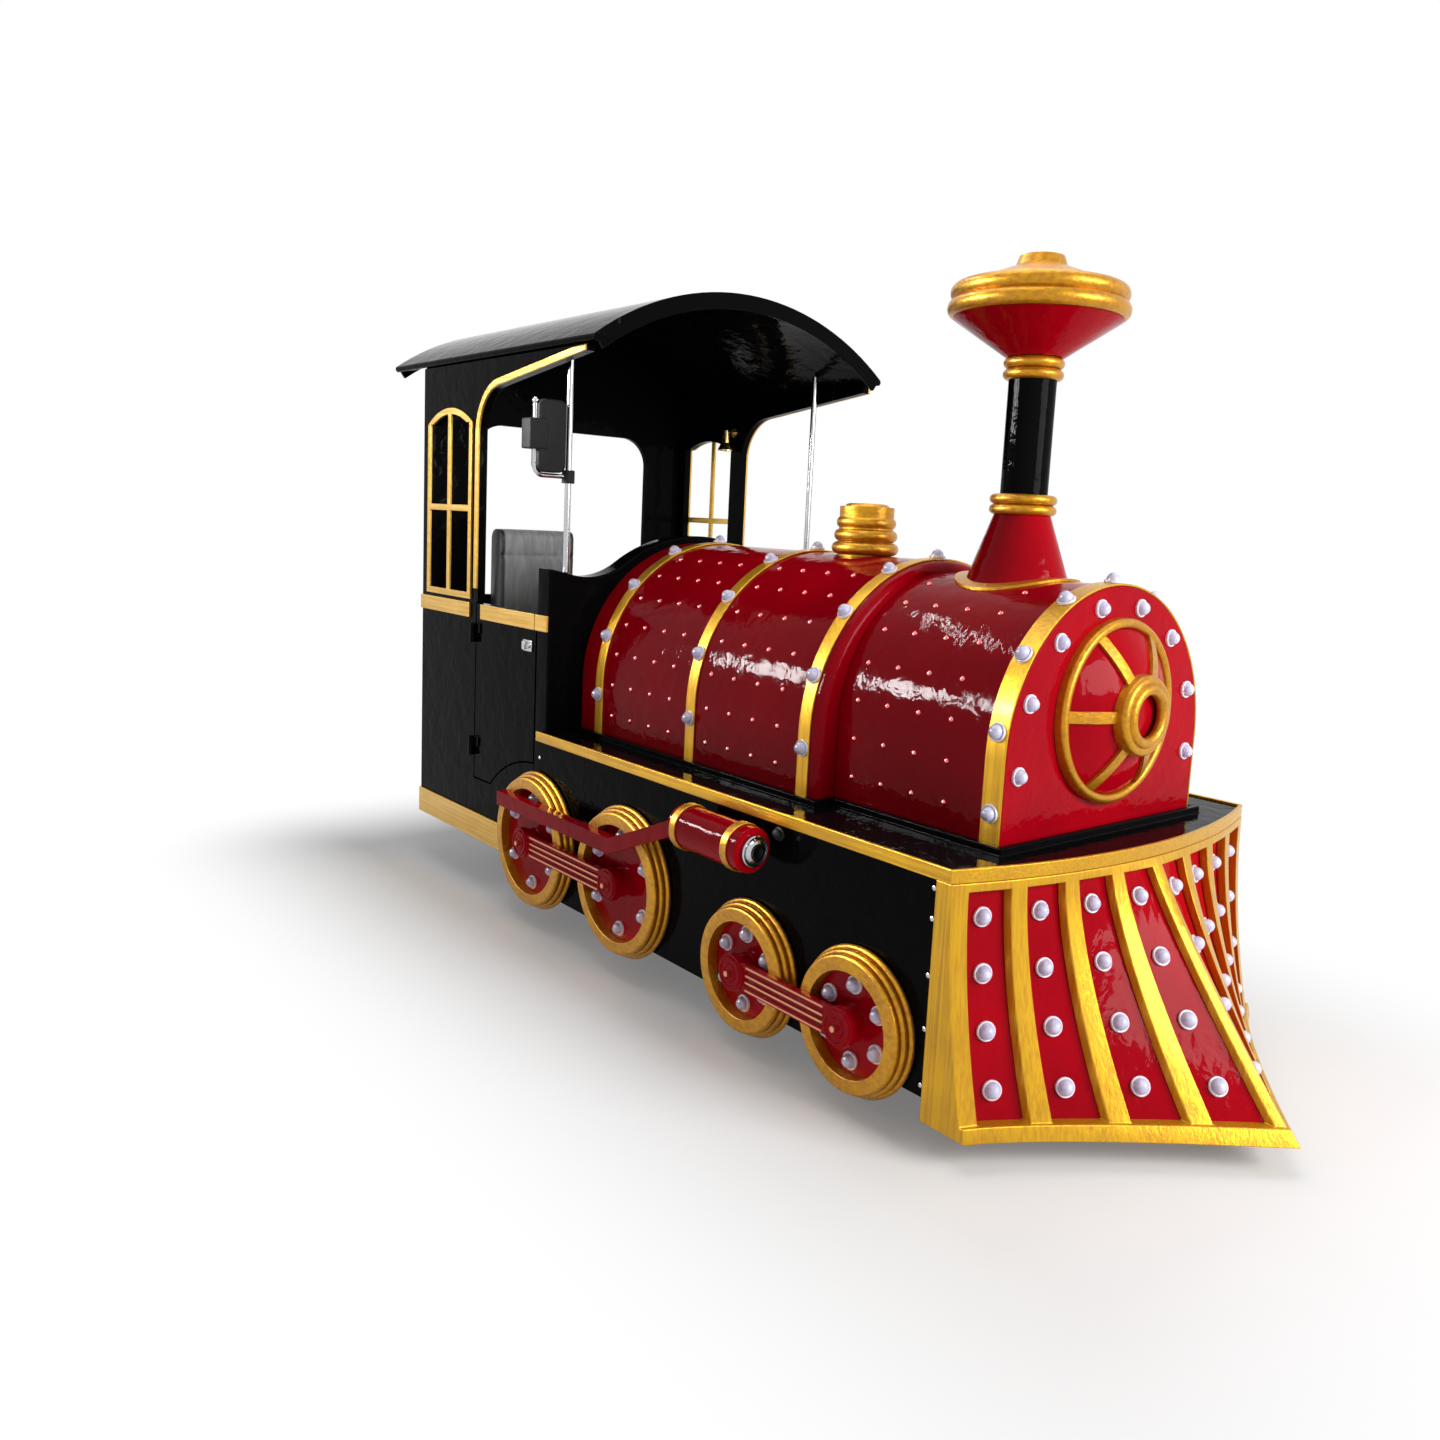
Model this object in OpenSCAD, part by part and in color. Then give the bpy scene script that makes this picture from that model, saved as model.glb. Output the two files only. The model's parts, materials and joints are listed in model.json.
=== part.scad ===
// Trackless fairground train locomotive, built as a moulded body on a steel road chassis.
// Millimetres. +X is forward, +Y is the train's left, +Z is up and the ground is Z = 0.

/* [Stations along the train] */
// Front face of the cab bulkhead, from the middle of the train
bulkhead_x = -567; // [-600:1:-545]
// Length of the boiler barrel
barrel_l = 1235; // [1180:1:1290]
// Length of the smokebox
smokebox_l = 583; // [540:1:630]
// Deck ahead of the smokebox
deck_nose = 164; // [140:1:190]
// How far the deck's front corners lie behind its middle
deck_bow = 115; // [80:1:140]
// Pilot's nose ahead of the deck
pilot_reach = 447; // [400:1:500]
// Cab side between the bulkhead and the door's hinges
door_bay = 466; // [440:1:500]
// Cab side behind the door's hinges
quarter_l = 479; // [460:1:540]
// Roof behind the cab
roof_tail = 270; // [220:1:340]
// Roof ahead of the bulkhead
roof_peak = 257; // [200:1:320]

/* [Deck and skirts] */
// Width over the side walls
body_w = 1264; // [1240:1:1320]
// Overhang of the gold lip past the side walls
deck_over = 18; // [14:1:30]
// Height of the deck's top face
deck_z = 690; // [680:1:710]
// Thickness of the deck
deck_t = 22; // [15:1:26]
// Width of the gold lip
lip_w = 10; // [6:1:14]
// Height of the gold lip
lip_h = 34; // [28:1:44]
// Rise of the gold lip above the deck
lip_up = 6; // [3:1:10]
// Thickness of the side walls and doors
wall_t = 30; // [20:1:36]
// Bottom edge of the skirts
skirt_z = 120; // [90:1:150]
// Skirts ahead of the smokebox
skirt_lead = 4; // [0:1:16]
// Width of the plinth round the foot of the boiler
plinth_w = 26; // [15:1:36]
// Height of that plinth
plinth_h = 20; // [12:1:28]

/* [Pilot] */
// Red panels on each half of the pilot
rib_count = 4; // [3:1:5]
// Width of a rib
rib_w = 44; // [30:1:54]
// How far the ribs stand ahead of the red panel
rib_proud = 26; // [14:1:34]
// Bottom of the pilot above the ground
pilot_z = 72; // [60:1:90]
// Height of the gold rail along the bottom
pilot_rail_h = 36; // [28:1:46]
// Height of the gold rail under the deck
pilot_head_h = 22; // [16:1:30]
// Thickness of the red panel, along the train
pilot_t = 14; // [10:1:20]
// Bottom corner of the pilot ahead of the deck's corner
pilot_spread = 58; // [40:1:90]
// Lamps in each red panel
lamp_rows = 4; // [2:1:5]

/* [Boiler] */
// Radius of the boiler barrel
barrel_r = 492; // [470:1:510]
// Height of the barrel's axis above the deck
barrel_up = 186; // [170:1:200]
// Step in radius from the barrel to the smokebox
smokebox_step = 70; // [50:1:90]
// Height of the smokebox's axis above the deck
smokebox_up = 225; // [210:1:240]
// Wall thickness of the moulded boiler
shell_t = 10; // [6:1:16]
// Rounding of the barrel's front edge
barrel_round = 30; // [15:1:45]
// Width of a gold band on the barrel
band_w = 46; // [30:1:60]
// Width of the gold band at the front of the smokebox
front_band_w = 60; // [40:1:70]
// Thickness of the gold bands
band_t = 6; // [4:1:10]
// Diameter of a lamp's collar
lamp_d = 48; // [36:1:52]
// Gap between the smokebox's top and its door ring
door_head = 81; // [70:1:95]
// How far the smokebox door bulges
door_bulge = 90; // [70:1:110]
// Gap between the deck and the smokebox's door ring
door_foot = 80; // [65:1:95]
// Number of spokes on the smokebox door
spoke_count = 6; // [5:1:8]

/* [Chimney and dome] */
// Chimney axis ahead of the step in the boiler
chimney_set = 244; // [200:1:290]
// Outer radius of the chimney tube
stack_r = 65; // [58:1:70]
// Height of the red saddle cone
saddle_h = 171; // [150:1:190]
// Length of the chimney from the saddle to the funnel
stack_l = 422; // [390:1:450]
// Radius of the funnel's rim
funnel_r = 228; // [210:1:240]
// Height of the funnel's cone
funnel_h = 100; // [90:1:120]
// Largest radius of the steam dome
dome_r = 106; // [96:1:116]
// Height of the steam dome
dome_h = 160; // [148:1:177]

/* [Cab] */
// Thickness of the bulkhead
bulkhead_t = 80; // [60:1:90]
// Bulkhead above the boiler
bulkhead_rise = 24; // [18:1:40]
// Drop from the bulkhead's top to its shoulders
shoulder_drop = 156; // [140:1:170]
// Bottom edge of the cab's sides
cab_bottom_z = 198; // [180:1:220]
// Doors above the cab floor
door_sill = 50; // [40:1:70]
// Top edge of the doors above the deck
belt_up = 410; // [400:1:430]
// Gap round each door
door_gap = 6; // [5:1:8]
// Radius of the fender line that cuts the doors' lower front corners
fender_r = 500; // [480:1:510]
// Height of the belt rail
belt_h = 56; // [40:1:64]
// Thickness of gold strips on the cab
strip_t = 9; // [6:1:12]
// Width of gold window and arch strips
strip_w = 24; // [18:1:28]
// Wall behind the side window
window_inset = 55; // [40:1:70]
// Wall between the side window and the door's hinges
window_jamb = 39; // [30:1:50]
// Side window above the doors' top edge
window_up = 13; // [8:1:25]
// Side window below the eave
window_drop = 185; // [165:1:205]
// Rise of the side window's arch
window_rise = 59; // [45:1:70]
// Side wall left beside the rear opening
rear_jamb = 182; // [152:1:222]
// Rear opening below the eave
rear_drop = 215; // [175:1:255]
// Eave of the roof above the doors' top edge
eave_up = 915; // [890:1:960]
// Roof rise from eave to middle
roof_rise = 215; // [190:1:225]
// Overhang of the roof past the side walls
roof_over = 9; // [6:1:28]
// Roof thickness
roof_t = 25; // [18:1:30]
// Diameter of the roof posts
post_d = 22; // [18:1:30]

/* [Driver's place] */
// Distance of the seat's middle from the centre line, on the right
seat_y = 190; // [170:1:210]
// Seat width
seat_w = 360; // [330:1:380]
// Seat depth
seat_l = 440; // [410:1:450]
// Height of the seat box
seat_box_h = 315; // [295:1:335]
// Thickness of the seat cushion
cushion_t = 115; // [90:1:130]
// Height of the backrest
backrest_h = 567; // [545:1:585]
// Steering wheel radius
wheel_r = 155; // [145:1:160]
// Tilt of the steering column from upright
column_tilt = 55; // [45:1:60]

/* [Dummy driving gear] */
// Radius of the two large wheels on each side
big_r = 244; // [230:1:246]
// Radius of the two small wheels on each side
small_r = 193; // [180:1:196]
// First large wheel's centre behind the bulkhead's front face
big_back = 23; // [10:1:40]
// Last small wheel's rim behind the skirt's front edge
wheel_lead = 36; // [20:1:60]
// Share of the free length that lies between the two large wheels
big_share = 72; // [50:1:90]
// Share of the free length that lies between the large and the small wheels
mid_share = 196; // [180:1:210]
// Share of the free length that lies between the two small wheels
small_share = 37; // [26:1:44]
// Ground clearance of the large wheels
big_lift = 64; // [54:1:76]
// Ground clearance of the small wheels
small_lift = 41; // [35:1:57]
// Depth of a wheel rim
rim_depth = 54; // [46:1:60]
// Radial width of a wheel rim
rim_w = 58; // [48:1:62]
// Depth of a side rod
rod_t = 26; // [20:1:32]
// Height of a side rod
rod_h = 76; // [60:1:80]
// Cylinder radius
cylinder_r = 62; // [55:1:64]
// Rear end of the cylinder ahead of the second large wheel's centre
cylinder_set = 407; // [395:1:420]
// Length of the cylinder
cylinder_l = 300; // [280:1:310]

/* [Road wheels and chassis] */
// Tyre diameter
tyre_d = 360; // [340:1:380]
// Tyre width
tyre_w = 110; // [100:1:116]
// Rim seat diameter
rim_d = 206; // [196:1:216]
// Room between a side wall and the middle of a tyre
wheel_inset = 152; // [146:1:160]
// Front axle ahead of the step in the boiler
front_axle_set = 162; // [140:1:180]
// Rear axle ahead of the door's hinges
rear_axle_set = 113; // [95:1:135]
// Distance of a kingpin from the middle of its tyre
kingpin_set = 78; // [76:1:81]
// Kingpin diameter
kingpin_d = 20; // [18:1:22]
// Stub axle diameter
stub_d = 30; // [28:1:34]
// Length of the steering arms
steer_arm = 130; // [120:1:140]
// Distance of a chassis rail from the kingpin beside it
rail_set = 132; // [127:1:137]
// Width of a chassis rail
rail_w = 50; // [40:1:54]
// Height of a chassis rail
rail_h = 90; // [80:1:96]
// Height of the axle pads from the axle's middle to the rails
pad_h = 55; // [50:1:62]
// Radius of the tow pin's hole
hitch_r = 13; // [11:0.5:16]
// Tow pin behind the cab
hitch_reach = 108; // [90:1:130]

/* [Hidden] */

$fn = 64;
RED = [0.45, 0.02, 0.05];
GOLD = [0.80, 0.58, 0.14];
BLACK = [0.03, 0.03, 0.035];
STEEL = [0.25, 0.25, 0.27];
CHROME = [0.80, 0.81, 0.83];
BULB = [0.90, 0.89, 0.96];
SEAT = [0.36, 0.36, 0.38];
RUBBER = [0.05, 0.05, 0.05];

// Clearances: seat is the gap of a fixed piece, run the radial gap of a turning one.
seat = 0.3;
run = 0.05;
// Overlap of shapes that are cut or joined, so that no thin skin is left.
eps = 1;

// Stations along the train
boiler_step_x = bulkhead_x + barrel_l;
smokebox_front_x = boiler_step_x + smokebox_l;
skirt_front_x = smokebox_front_x + skirt_lead;
deck_front_x = smokebox_front_x + deck_nose;
nose_x = deck_front_x + pilot_reach;
bulkhead_rear_x = bulkhead_x - bulkhead_t;
pillar_x = bulkhead_rear_x - door_bay;
cab_rear_x = pillar_x - quarter_l;
roof_rear_x = cab_rear_x - roof_tail;
roof_front_x = bulkhead_x + roof_peak;

// Widths
body_half = body_w / 2;
inner_half = body_half - wall_t;
deck_half = body_half + deck_over;
roof_half = body_half + roof_over;

// Heights, from the tyres up
axle_z = tyre_d / 2;
cross_h = 45;
floor_t = 15;
rail_z = axle_z + pad_h;
rail_top_z = rail_z + rail_h;
cross_top_z = rail_top_z + cross_h;
floor_z = cross_top_z + floor_t;
deck_under_z = deck_z - deck_t;
lip_z = deck_z + lip_up - lip_h;
barrel_axis_z = deck_z + barrel_up;
barrel_top_z = barrel_axis_z + barrel_r;
smokebox_r = barrel_r - smokebox_step;
smokebox_axis_z = deck_z + smokebox_up;
smokebox_top_z = smokebox_axis_z + smokebox_r;
door_bottom_z = floor_z + door_sill;
door_top_z = deck_z + belt_up;
eave_z = door_top_z + eave_up;
roof_top_z = eave_z + roof_rise;

// The deck's bowed front edge and the roof's round section
deck_arc_r = (deck_half * deck_half + deck_bow * deck_bow) / (2 * deck_bow);
deck_arc_x = deck_front_x - deck_arc_r;
lip_tail = 40;
roof_r = (roof_half * roof_half + roof_rise * roof_rise) / (2 * roof_rise);
roof_axis_z = roof_top_z - roof_r;
roof_in_r = roof_r - roof_t;
roof_lip_t = 15;
roof_lip_h = 30;
function roof_under_z(y) = roof_axis_z + sqrt(roof_in_r * roof_in_r - y * y);

// Flat outline in X and Z laid inward from one side's face; side is 1 on the left, -1 on the right.
module side_plate(side, face, t) {
    translate([0, side > 0 ? face : t - face, 0]) rotate([90, 0, 0]) linear_extrude(t) children();
}

// Flat outline in Y and Z drawn out along the train from x0 to x1.
// A rectangle from low to high with round corners.
module soft_rect(low, high, r) {
    size = high - low;
    translate(low + [r, 0]) square(size - [2 * r, 0]);
    translate(low + [0, r]) square(size - [0, 2 * r]);
    for (x = [low[0] + r, high[0] - r], y = [low[1] + r, high[1] - r]) translate([x, y]) circle(r);
}

module along(x0, x1) {
    translate([x0, 0, 0]) rotate([90, 0, 90]) linear_extrude(x1 - x0) children();
}

// Points the children's Z axis out of one side of the train.
module outward(side) rotate([-90 * side, 0, 0]) children();

// Points the children's Z axis forward.
module forward() rotate([0, 90, 0]) children();

module box(low, high) translate(low) cube(high - low);

// Lamps
lamp_collar_t = 6;
collar_lip = 3;
lamp_bulb_r = lamp_d / 2 - collar_lip;

// One lamp on its collar, standing on Z = 0.
module lamp() {
    color(BULB) rotate_extrude() intersection() {
        union() {
            square([lamp_d / 2, lamp_collar_t]);
            translate([0, lamp_collar_t]) circle(lamp_bulb_r);
        }
        square([lamp_d, lamp_d]);
    }
}

// Chassis
cross_w = 40;
post_inset = 102;
hitch_plate_t = 14;
hitch_tuck = 12;
rail_end_gap = 25;
cross_rear_set = 57;
cross_sill_set = 53;
cross_mid_set = 237;
cross_boiler_set = 248;
cross_front_set = 55;
wheel_y = inner_half - wheel_inset;
kingpin_y = wheel_y - kingpin_set;
rail_y = kingpin_y - rail_set;
front_axle_x = boiler_step_x + front_axle_set;
rear_axle_x = pillar_x + rear_axle_set;
rail_rear_x = cab_rear_x + hitch_plate_t + hitch_tuck;
rail_front_x = skirt_front_x - rail_end_gap;
cross_rear_x = cab_rear_x + cross_rear_set;
cross_sill_x = bulkhead_rear_x - cross_sill_set;
cross_mid_x = bulkhead_x + cross_mid_set;
cross_boiler_x = boiler_step_x - cross_boiler_set;
cross_front_x = skirt_front_x - cross_front_set;
post_y = inner_half - post_inset;

module chassis_frame() {
    color(STEEL) {
        for (side = [-1, 1])
            box([rail_rear_x, side * rail_y - rail_w / 2, rail_z],
                [rail_front_x, side * rail_y + rail_w / 2, rail_top_z]);
        for (x = [cross_rear_x, cross_sill_x, cross_mid_x, cross_boiler_x, cross_front_x])
            box([x - cross_w / 2, -inner_half, rail_top_z], [x + cross_w / 2, inner_half, cross_top_z]);
        for (x = [cross_mid_x, cross_boiler_x, cross_front_x], side = [-1, 1])
            translate([x, side * post_y, (cross_top_z + deck_under_z) / 2])
                cube([cross_w, cross_w, deck_under_z - cross_top_z], center = true);
    }
}

battery_h = 215;

module battery_pack() {
    color([0.16, 0.18, 0.20])
        box([cross_mid_x + cross_w / 2, rail_w / 2 - rail_y, rail_z],
            [cross_boiler_x - cross_w / 2, rail_y - rail_w / 2, rail_z + battery_h]);
}

// Tow hitch: a plate across the rails' ends with two ears for a drop pin.
ear_t = 14;
ear_gap = 34;
ear_w = 90;
hitch_x = cab_rear_x - hitch_reach;
ear_mid_z = rail_z + rail_h / 2;

module tow_hitch() {
    color(STEEL) {
        box([rail_rear_x - hitch_plate_t, -rail_y - rail_w / 2, rail_z],
            [rail_rear_x, rail_y + rail_w / 2, rail_top_z]);
        for (low = [ear_mid_z - ear_gap / 2 - ear_t, ear_mid_z + ear_gap / 2])
            translate([0, 0, low]) difference() {
                union() {
                    box([hitch_x, -ear_w / 2, 0], [rail_rear_x - hitch_plate_t, ear_w / 2, ear_t]);
                    translate([hitch_x, 0, 0]) cylinder(h = ear_t, d = ear_w);
                }
                translate([hitch_x, 0, -eps]) cylinder(h = ear_t + 2 * eps, r = hitch_r);
            }
    }
}

// Road wheels: steered knuckles at the front, a driven axle at the rear.
hub_half = 45;
beam = 50;
barrel_d = 40;
knuckle_h = 68;
yoke_t = 14;
yoke_web_t = 15;
yoke_w = 50;
yoke_gap = 16;
yoke_web_y = kingpin_y - barrel_d / 2 - yoke_gap - yoke_web_t;
pad_l = 90;
arm_w = 24;
arm_t = 12;
tie_pin_d = 12;
tie_eye_d = 34;
tie_eye_t = 16;
tie_bar_d = 14;
stub_cap_t = 10;
stub_cap_d = stub_d + 16;
tie_x = front_axle_x - steer_arm;

module front_axle() {
    color(STEEL) {
        box([front_axle_x - beam / 2, -yoke_web_y - yoke_web_t, axle_z - beam / 2],
            [front_axle_x + beam / 2, yoke_web_y + yoke_web_t, axle_z + beam / 2]);
        for (side = [-1, 1]) {
            translate([front_axle_x, side * rail_y, (axle_z + rail_z) / 2])
                cube([pad_l, rail_w, pad_h], center = true);
            translate([front_axle_x, side * kingpin_y, axle_z - knuckle_h / 2 - yoke_t])
                cylinder(h = knuckle_h + 2 * yoke_t, d = kingpin_d);
            translate([front_axle_x, side * (yoke_web_y + yoke_web_t / 2), axle_z])
                cube([yoke_w, yoke_web_t, knuckle_h + 2 * yoke_t], center = true);
            for (low = [-knuckle_h / 2 - yoke_t, knuckle_h / 2])
                translate([front_axle_x, side * kingpin_y, axle_z + low]) {
                    cylinder(h = yoke_t, d = yoke_w);
                    translate([-yoke_w / 2, side > 0 ? yoke_web_y - kingpin_y : 0, 0])
                        cube([yoke_w, kingpin_y - yoke_web_y, yoke_t]);
                }
        }
    }
}

module knuckle(side) {
    color(STEEL) translate([front_axle_x, side * kingpin_y, axle_z]) {
        difference() {
            union() {
                translate([0, 0, seat - knuckle_h / 2]) cylinder(h = knuckle_h - 2 * seat, d = barrel_d);
                outward(side) cylinder(h = kingpin_set + hub_half + seat, d = stub_d);
                translate([-steer_arm, -arm_w / 2, -arm_t / 2]) cube([steer_arm, arm_w, arm_t]);
                translate([-steer_arm, 0, -arm_t / 2]) cylinder(h = arm_t, d = tie_eye_d);
            }
            translate([0, 0, -knuckle_h]) cylinder(h = 2 * knuckle_h, r = kingpin_d / 2 + run);
        }
        outward(side) translate([0, 0, kingpin_set + hub_half + seat])
            cylinder(h = stub_cap_t, d = stub_cap_d);
        translate([-steer_arm, 0, 0]) cylinder(h = arm_t / 2 + seat + tie_eye_t, d = tie_pin_d);
    }
}

module tie_rod() {
    eye_z = axle_z + arm_t / 2 + seat;
    color(CHROME) difference() {
        union() {
            translate([tie_x, 0, eye_z + tie_eye_t / 2]) rotate([90, 0, 0])
                cylinder(h = 2 * kingpin_y - tie_eye_d / 2, d = tie_bar_d, center = true);
            for (side = [-1, 1])
                translate([tie_x, side * kingpin_y, eye_z]) cylinder(h = tie_eye_t, d = tie_eye_d);
        }
        for (side = [-1, 1])
            translate([tie_x, side * kingpin_y, eye_z - eps])
                cylinder(h = tie_eye_t + 2 * eps, r = tie_pin_d / 2 + run);
    }
}

tube_d = 56;
diff_r = 92;
motor_d = 160;
motor_l = 260;
motor_set = 100;
motor_nose_d = 112;
motor_flange_t = 16;
motor_flange_up = 7;
motor_flange_set = 31;
motor_x = rear_axle_x + motor_set;

module rear_axle() {
    color(STEEL) translate([rear_axle_x, 0, axle_z]) {
        rotate([90, 0, 0]) cylinder(h = 2 * (wheel_y - hub_half) - 2 * seat, d = tube_d, center = true);
        rotate([90, 0, 0]) cylinder(h = 2 * (wheel_y + hub_half + seat), d = stub_d, center = true);
        for (side = [-1, 1]) {
            outward(side) translate([0, 0, wheel_y + hub_half + seat])
                cylinder(h = stub_cap_t, d = stub_cap_d);
            translate([0, side * rail_y, pad_h / 2]) cube([pad_l, rail_w, pad_h], center = true);
        }
        sphere(diff_r);
        forward() cylinder(h = motor_x - rear_axle_x, d = motor_nose_d);
    }
}

module drive_motor() {
    color([0.20, 0.22, 0.24]) translate([motor_x, 0, axle_z]) forward() {
        cylinder(h = motor_l, d = motor_d);
        for (z = [motor_flange_set, motor_l - motor_flange_set - motor_flange_t])
            translate([0, 0, z]) cylinder(h = motor_flange_t, d = motor_d + 2 * motor_flange_up);
    }
}

tyre_round = 26;

// A tyre's section turned about its axle: rounded shoulders, straight beads.
module tyre(x, side) {
    bead_r = rim_d / 2 + seat;
    shoulder = tyre_w / 2 - tyre_round;
    color(RUBBER) translate([x, side * wheel_y, axle_z]) outward(side) rotate_extrude() intersection() {
        union() {
            translate([bead_r, -shoulder]) square([tyre_d / 2 - bead_r, 2 * shoulder]);
            translate([bead_r, -tyre_w / 2]) square([tyre_d / 2 - tyre_round - bead_r, tyre_w]);
            for (y = [-shoulder, shoulder]) translate([tyre_d / 2 - tyre_round, y]) circle(tyre_round);
        }
        translate([bead_r, -tyre_w]) square([tyre_d, 2 * tyre_w]);
    }
}

flange_t = 5;
flange_up = 9;
disc_t = 8;
disc_set = 4;
hub_wall = 18;
well_t = 16;
well_r = rim_d / 2 - well_t;

// A road wheel's rim: hub on the stub axle, dished disc, barrel and two flanges.
module rim(x, side) {
    color(CHROME) translate([x, side * wheel_y, axle_z]) outward(side) rotate_extrude() {
        translate([stub_d / 2 + run, -hub_half]) square([hub_wall, 2 * hub_half]);
        translate([stub_d / 2 + hub_wall - eps, disc_set])
            square([well_r - stub_d / 2 - hub_wall + 2 * eps, disc_t]);
        translate([well_r, -tyre_w / 2 - flange_t]) square([well_t, tyre_w + 2 * flange_t]);
        for (y = [-tyre_w / 2 - flange_t - seat, tyre_w / 2 + seat])
            translate([well_r, y]) square([well_t + flange_up, flange_t]);
    }
}

// Deck with the plinth round the boiler's foot
module deck_outline(inset) {
    intersection() {
        translate([bulkhead_x - lip_tail, inset - deck_half])
            square([deck_front_x - bulkhead_x + lip_tail, 2 * (deck_half - inset)]);
        translate([deck_arc_x, 0]) circle(deck_arc_r - inset, $fn = 200);
    }
}

module boiler_foot(grow) {
    translate([bulkhead_x, -barrel_r - grow]) square([barrel_l + grow, 2 * (barrel_r + grow)]);
    translate([bulkhead_x, -smokebox_r - grow])
        square([barrel_l + smokebox_l + grow, 2 * (smokebox_r + grow)]);
}

module deck() {
    color(BLACK) difference() {
        union() {
            translate([0, 0, deck_under_z]) linear_extrude(deck_t) deck_outline(lip_w);
            translate([0, 0, deck_z - eps]) linear_extrude(plinth_h + eps) boiler_foot(plinth_w);
        }
        translate([0, 0, deck_z]) linear_extrude(plinth_h + eps) boiler_foot(band_t + seat);
        box([bulkhead_rear_x, -body_half - seat, deck_under_z - eps],
            [bulkhead_x, body_half + seat, deck_z + plinth_h + eps]);
    }
}

module deck_lip() {
    color(GOLD) translate([0, 0, lip_z]) linear_extrude(lip_h) difference() {
        deck_outline(0);
        deck_outline(lip_w);
        translate([bulkhead_x - 2 * lip_tail, lip_w - deck_half])
            square([2 * lip_tail, 2 * (deck_half - lip_w)]);
    }
}

// Side walls below the deck
module skirts() {
    color(BLACK) for (side = [-1, 1]) side_plate(side, body_half, wall_t)
        translate([bulkhead_rear_x, skirt_z])
            square([skirt_front_x - bulkhead_rear_x, deck_under_z - skirt_z]);
}

// Pilot: a flared red panel behind gold ribs. Its face is X as a function of Y and Z.
pilot_tuck = 2;
pilot_edge = deck_half - pilot_tuck;
pilot_half = pilot_edge - rib_w / 2;
rib_pitch = pilot_half / rib_count;
pilot_head_z = lip_z;
pilot_top_z = pilot_head_z - pilot_head_h;
pilot_foot_z = pilot_z + pilot_rail_h;
pilot_inset = 24;
plan_power = 1.18;
flare_middle = 1.12;
flare_corner = 1.9;
rows = 12;
foot_proud = rib_proud + 10;
pilot_corner_x = deck_front_x - deck_bow + pilot_spread;
steps_per_panel = 4;
function pilot_u(y) = min(1, abs(y) / pilot_edge);
function pilot_head_x(y) = deck_arc_x + sqrt(deck_arc_r * deck_arc_r - y * y) - pilot_inset;
function pilot_foot_x(y) = pilot_corner_x
    + (nose_x - foot_proud - pilot_corner_x) * pow(1 - pilot_u(y), plan_power);
function pilot_drop(z) = (pilot_head_z - z) / (pilot_head_z - pilot_z);
function pilot_x(y, z) = pilot_head_x(y) + (pilot_foot_x(y) - pilot_head_x(y))
    * pow(max(0, pilot_drop(z)), flare_middle + (flare_corner - flare_middle) * pilot_u(y));

// A wall that follows the pilot's face between two heights, over stations in Y, from back to front offset.
// A back_x makes its back a flat face there instead.
module pilot_wall(ys, z0, z1, levels, back, front, back_x = undef) {
    ny = len(ys);
    nz = levels + 1;
    n = ny * nz;
    function level(k) = z0 + (z1 - z0) * k / levels;
    function back_at(y, z) = is_undef(back_x) ? pilot_x(y, z) + back : back_x;
    points = concat(
        [for (k = [0 : levels], y = ys) [pilot_x(y, level(k)) + front, y, level(k)]],
        [for (k = [0 : levels], y = ys) [back_at(y, level(k)), y, level(k)]]);
    function at(f, k, i) = f * n + k * ny + i;
    front_faces = [for (k = [0 : levels - 1], i = [0 : ny - 2]) each
        [[at(0, k, i), at(0, k + 1, i), at(0, k + 1, i + 1)],
        [at(0, k, i), at(0, k + 1, i + 1), at(0, k, i + 1)]]];
    back_faces = [for (k = [0 : levels - 1], i = [0 : ny - 2]) each
        [[at(1, k, i), at(1, k + 1, i + 1), at(1, k + 1, i)],
        [at(1, k, i), at(1, k, i + 1), at(1, k + 1, i + 1)]]];
    end_faces = [for (k = [0 : levels - 1]) each [
        [at(0, k, 0), at(1, k, 0), at(1, k + 1, 0)], [at(0, k, 0), at(1, k + 1, 0), at(0, k + 1, 0)],
        [at(0, k, ny - 1), at(1, k + 1, ny - 1), at(1, k, ny - 1)],
        [at(0, k, ny - 1), at(0, k + 1, ny - 1), at(1, k + 1, ny - 1)]]];
    edge_faces = [for (i = [0 : ny - 2]) each [
        [at(0, 0, i), at(0, 0, i + 1), at(1, 0, i + 1)], [at(0, 0, i), at(1, 0, i + 1), at(1, 0, i)],
        [at(0, levels, i), at(1, levels, i + 1), at(0, levels, i + 1)],
        [at(0, levels, i), at(1, levels, i), at(1, levels, i + 1)]]];
    polyhedron(points, concat(front_faces, back_faces, end_faces, edge_faces), convexity = 6);
}

// Stations across the panel: the edges and middle of each rib, and even steps between ribs
panel_half = pilot_half - rib_w / 2;
bay_w = rib_pitch - rib_w;
panel_ys = [for (i = [-rib_count : rib_count - 1]) each concat(
    [for (k = [0 : steps_per_panel]) i * rib_pitch + rib_w / 2 + k * bay_w / steps_per_panel],
    i < rib_count - 1 ? [(i + 1) * rib_pitch] : [])];
rail_ys = concat([-pilot_edge], panel_ys, [pilot_edge]);

module pilot_panel() {
    color(RED) pilot_wall(panel_ys, pilot_foot_z, pilot_top_z, rows, -pilot_t, 0);
}

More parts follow.
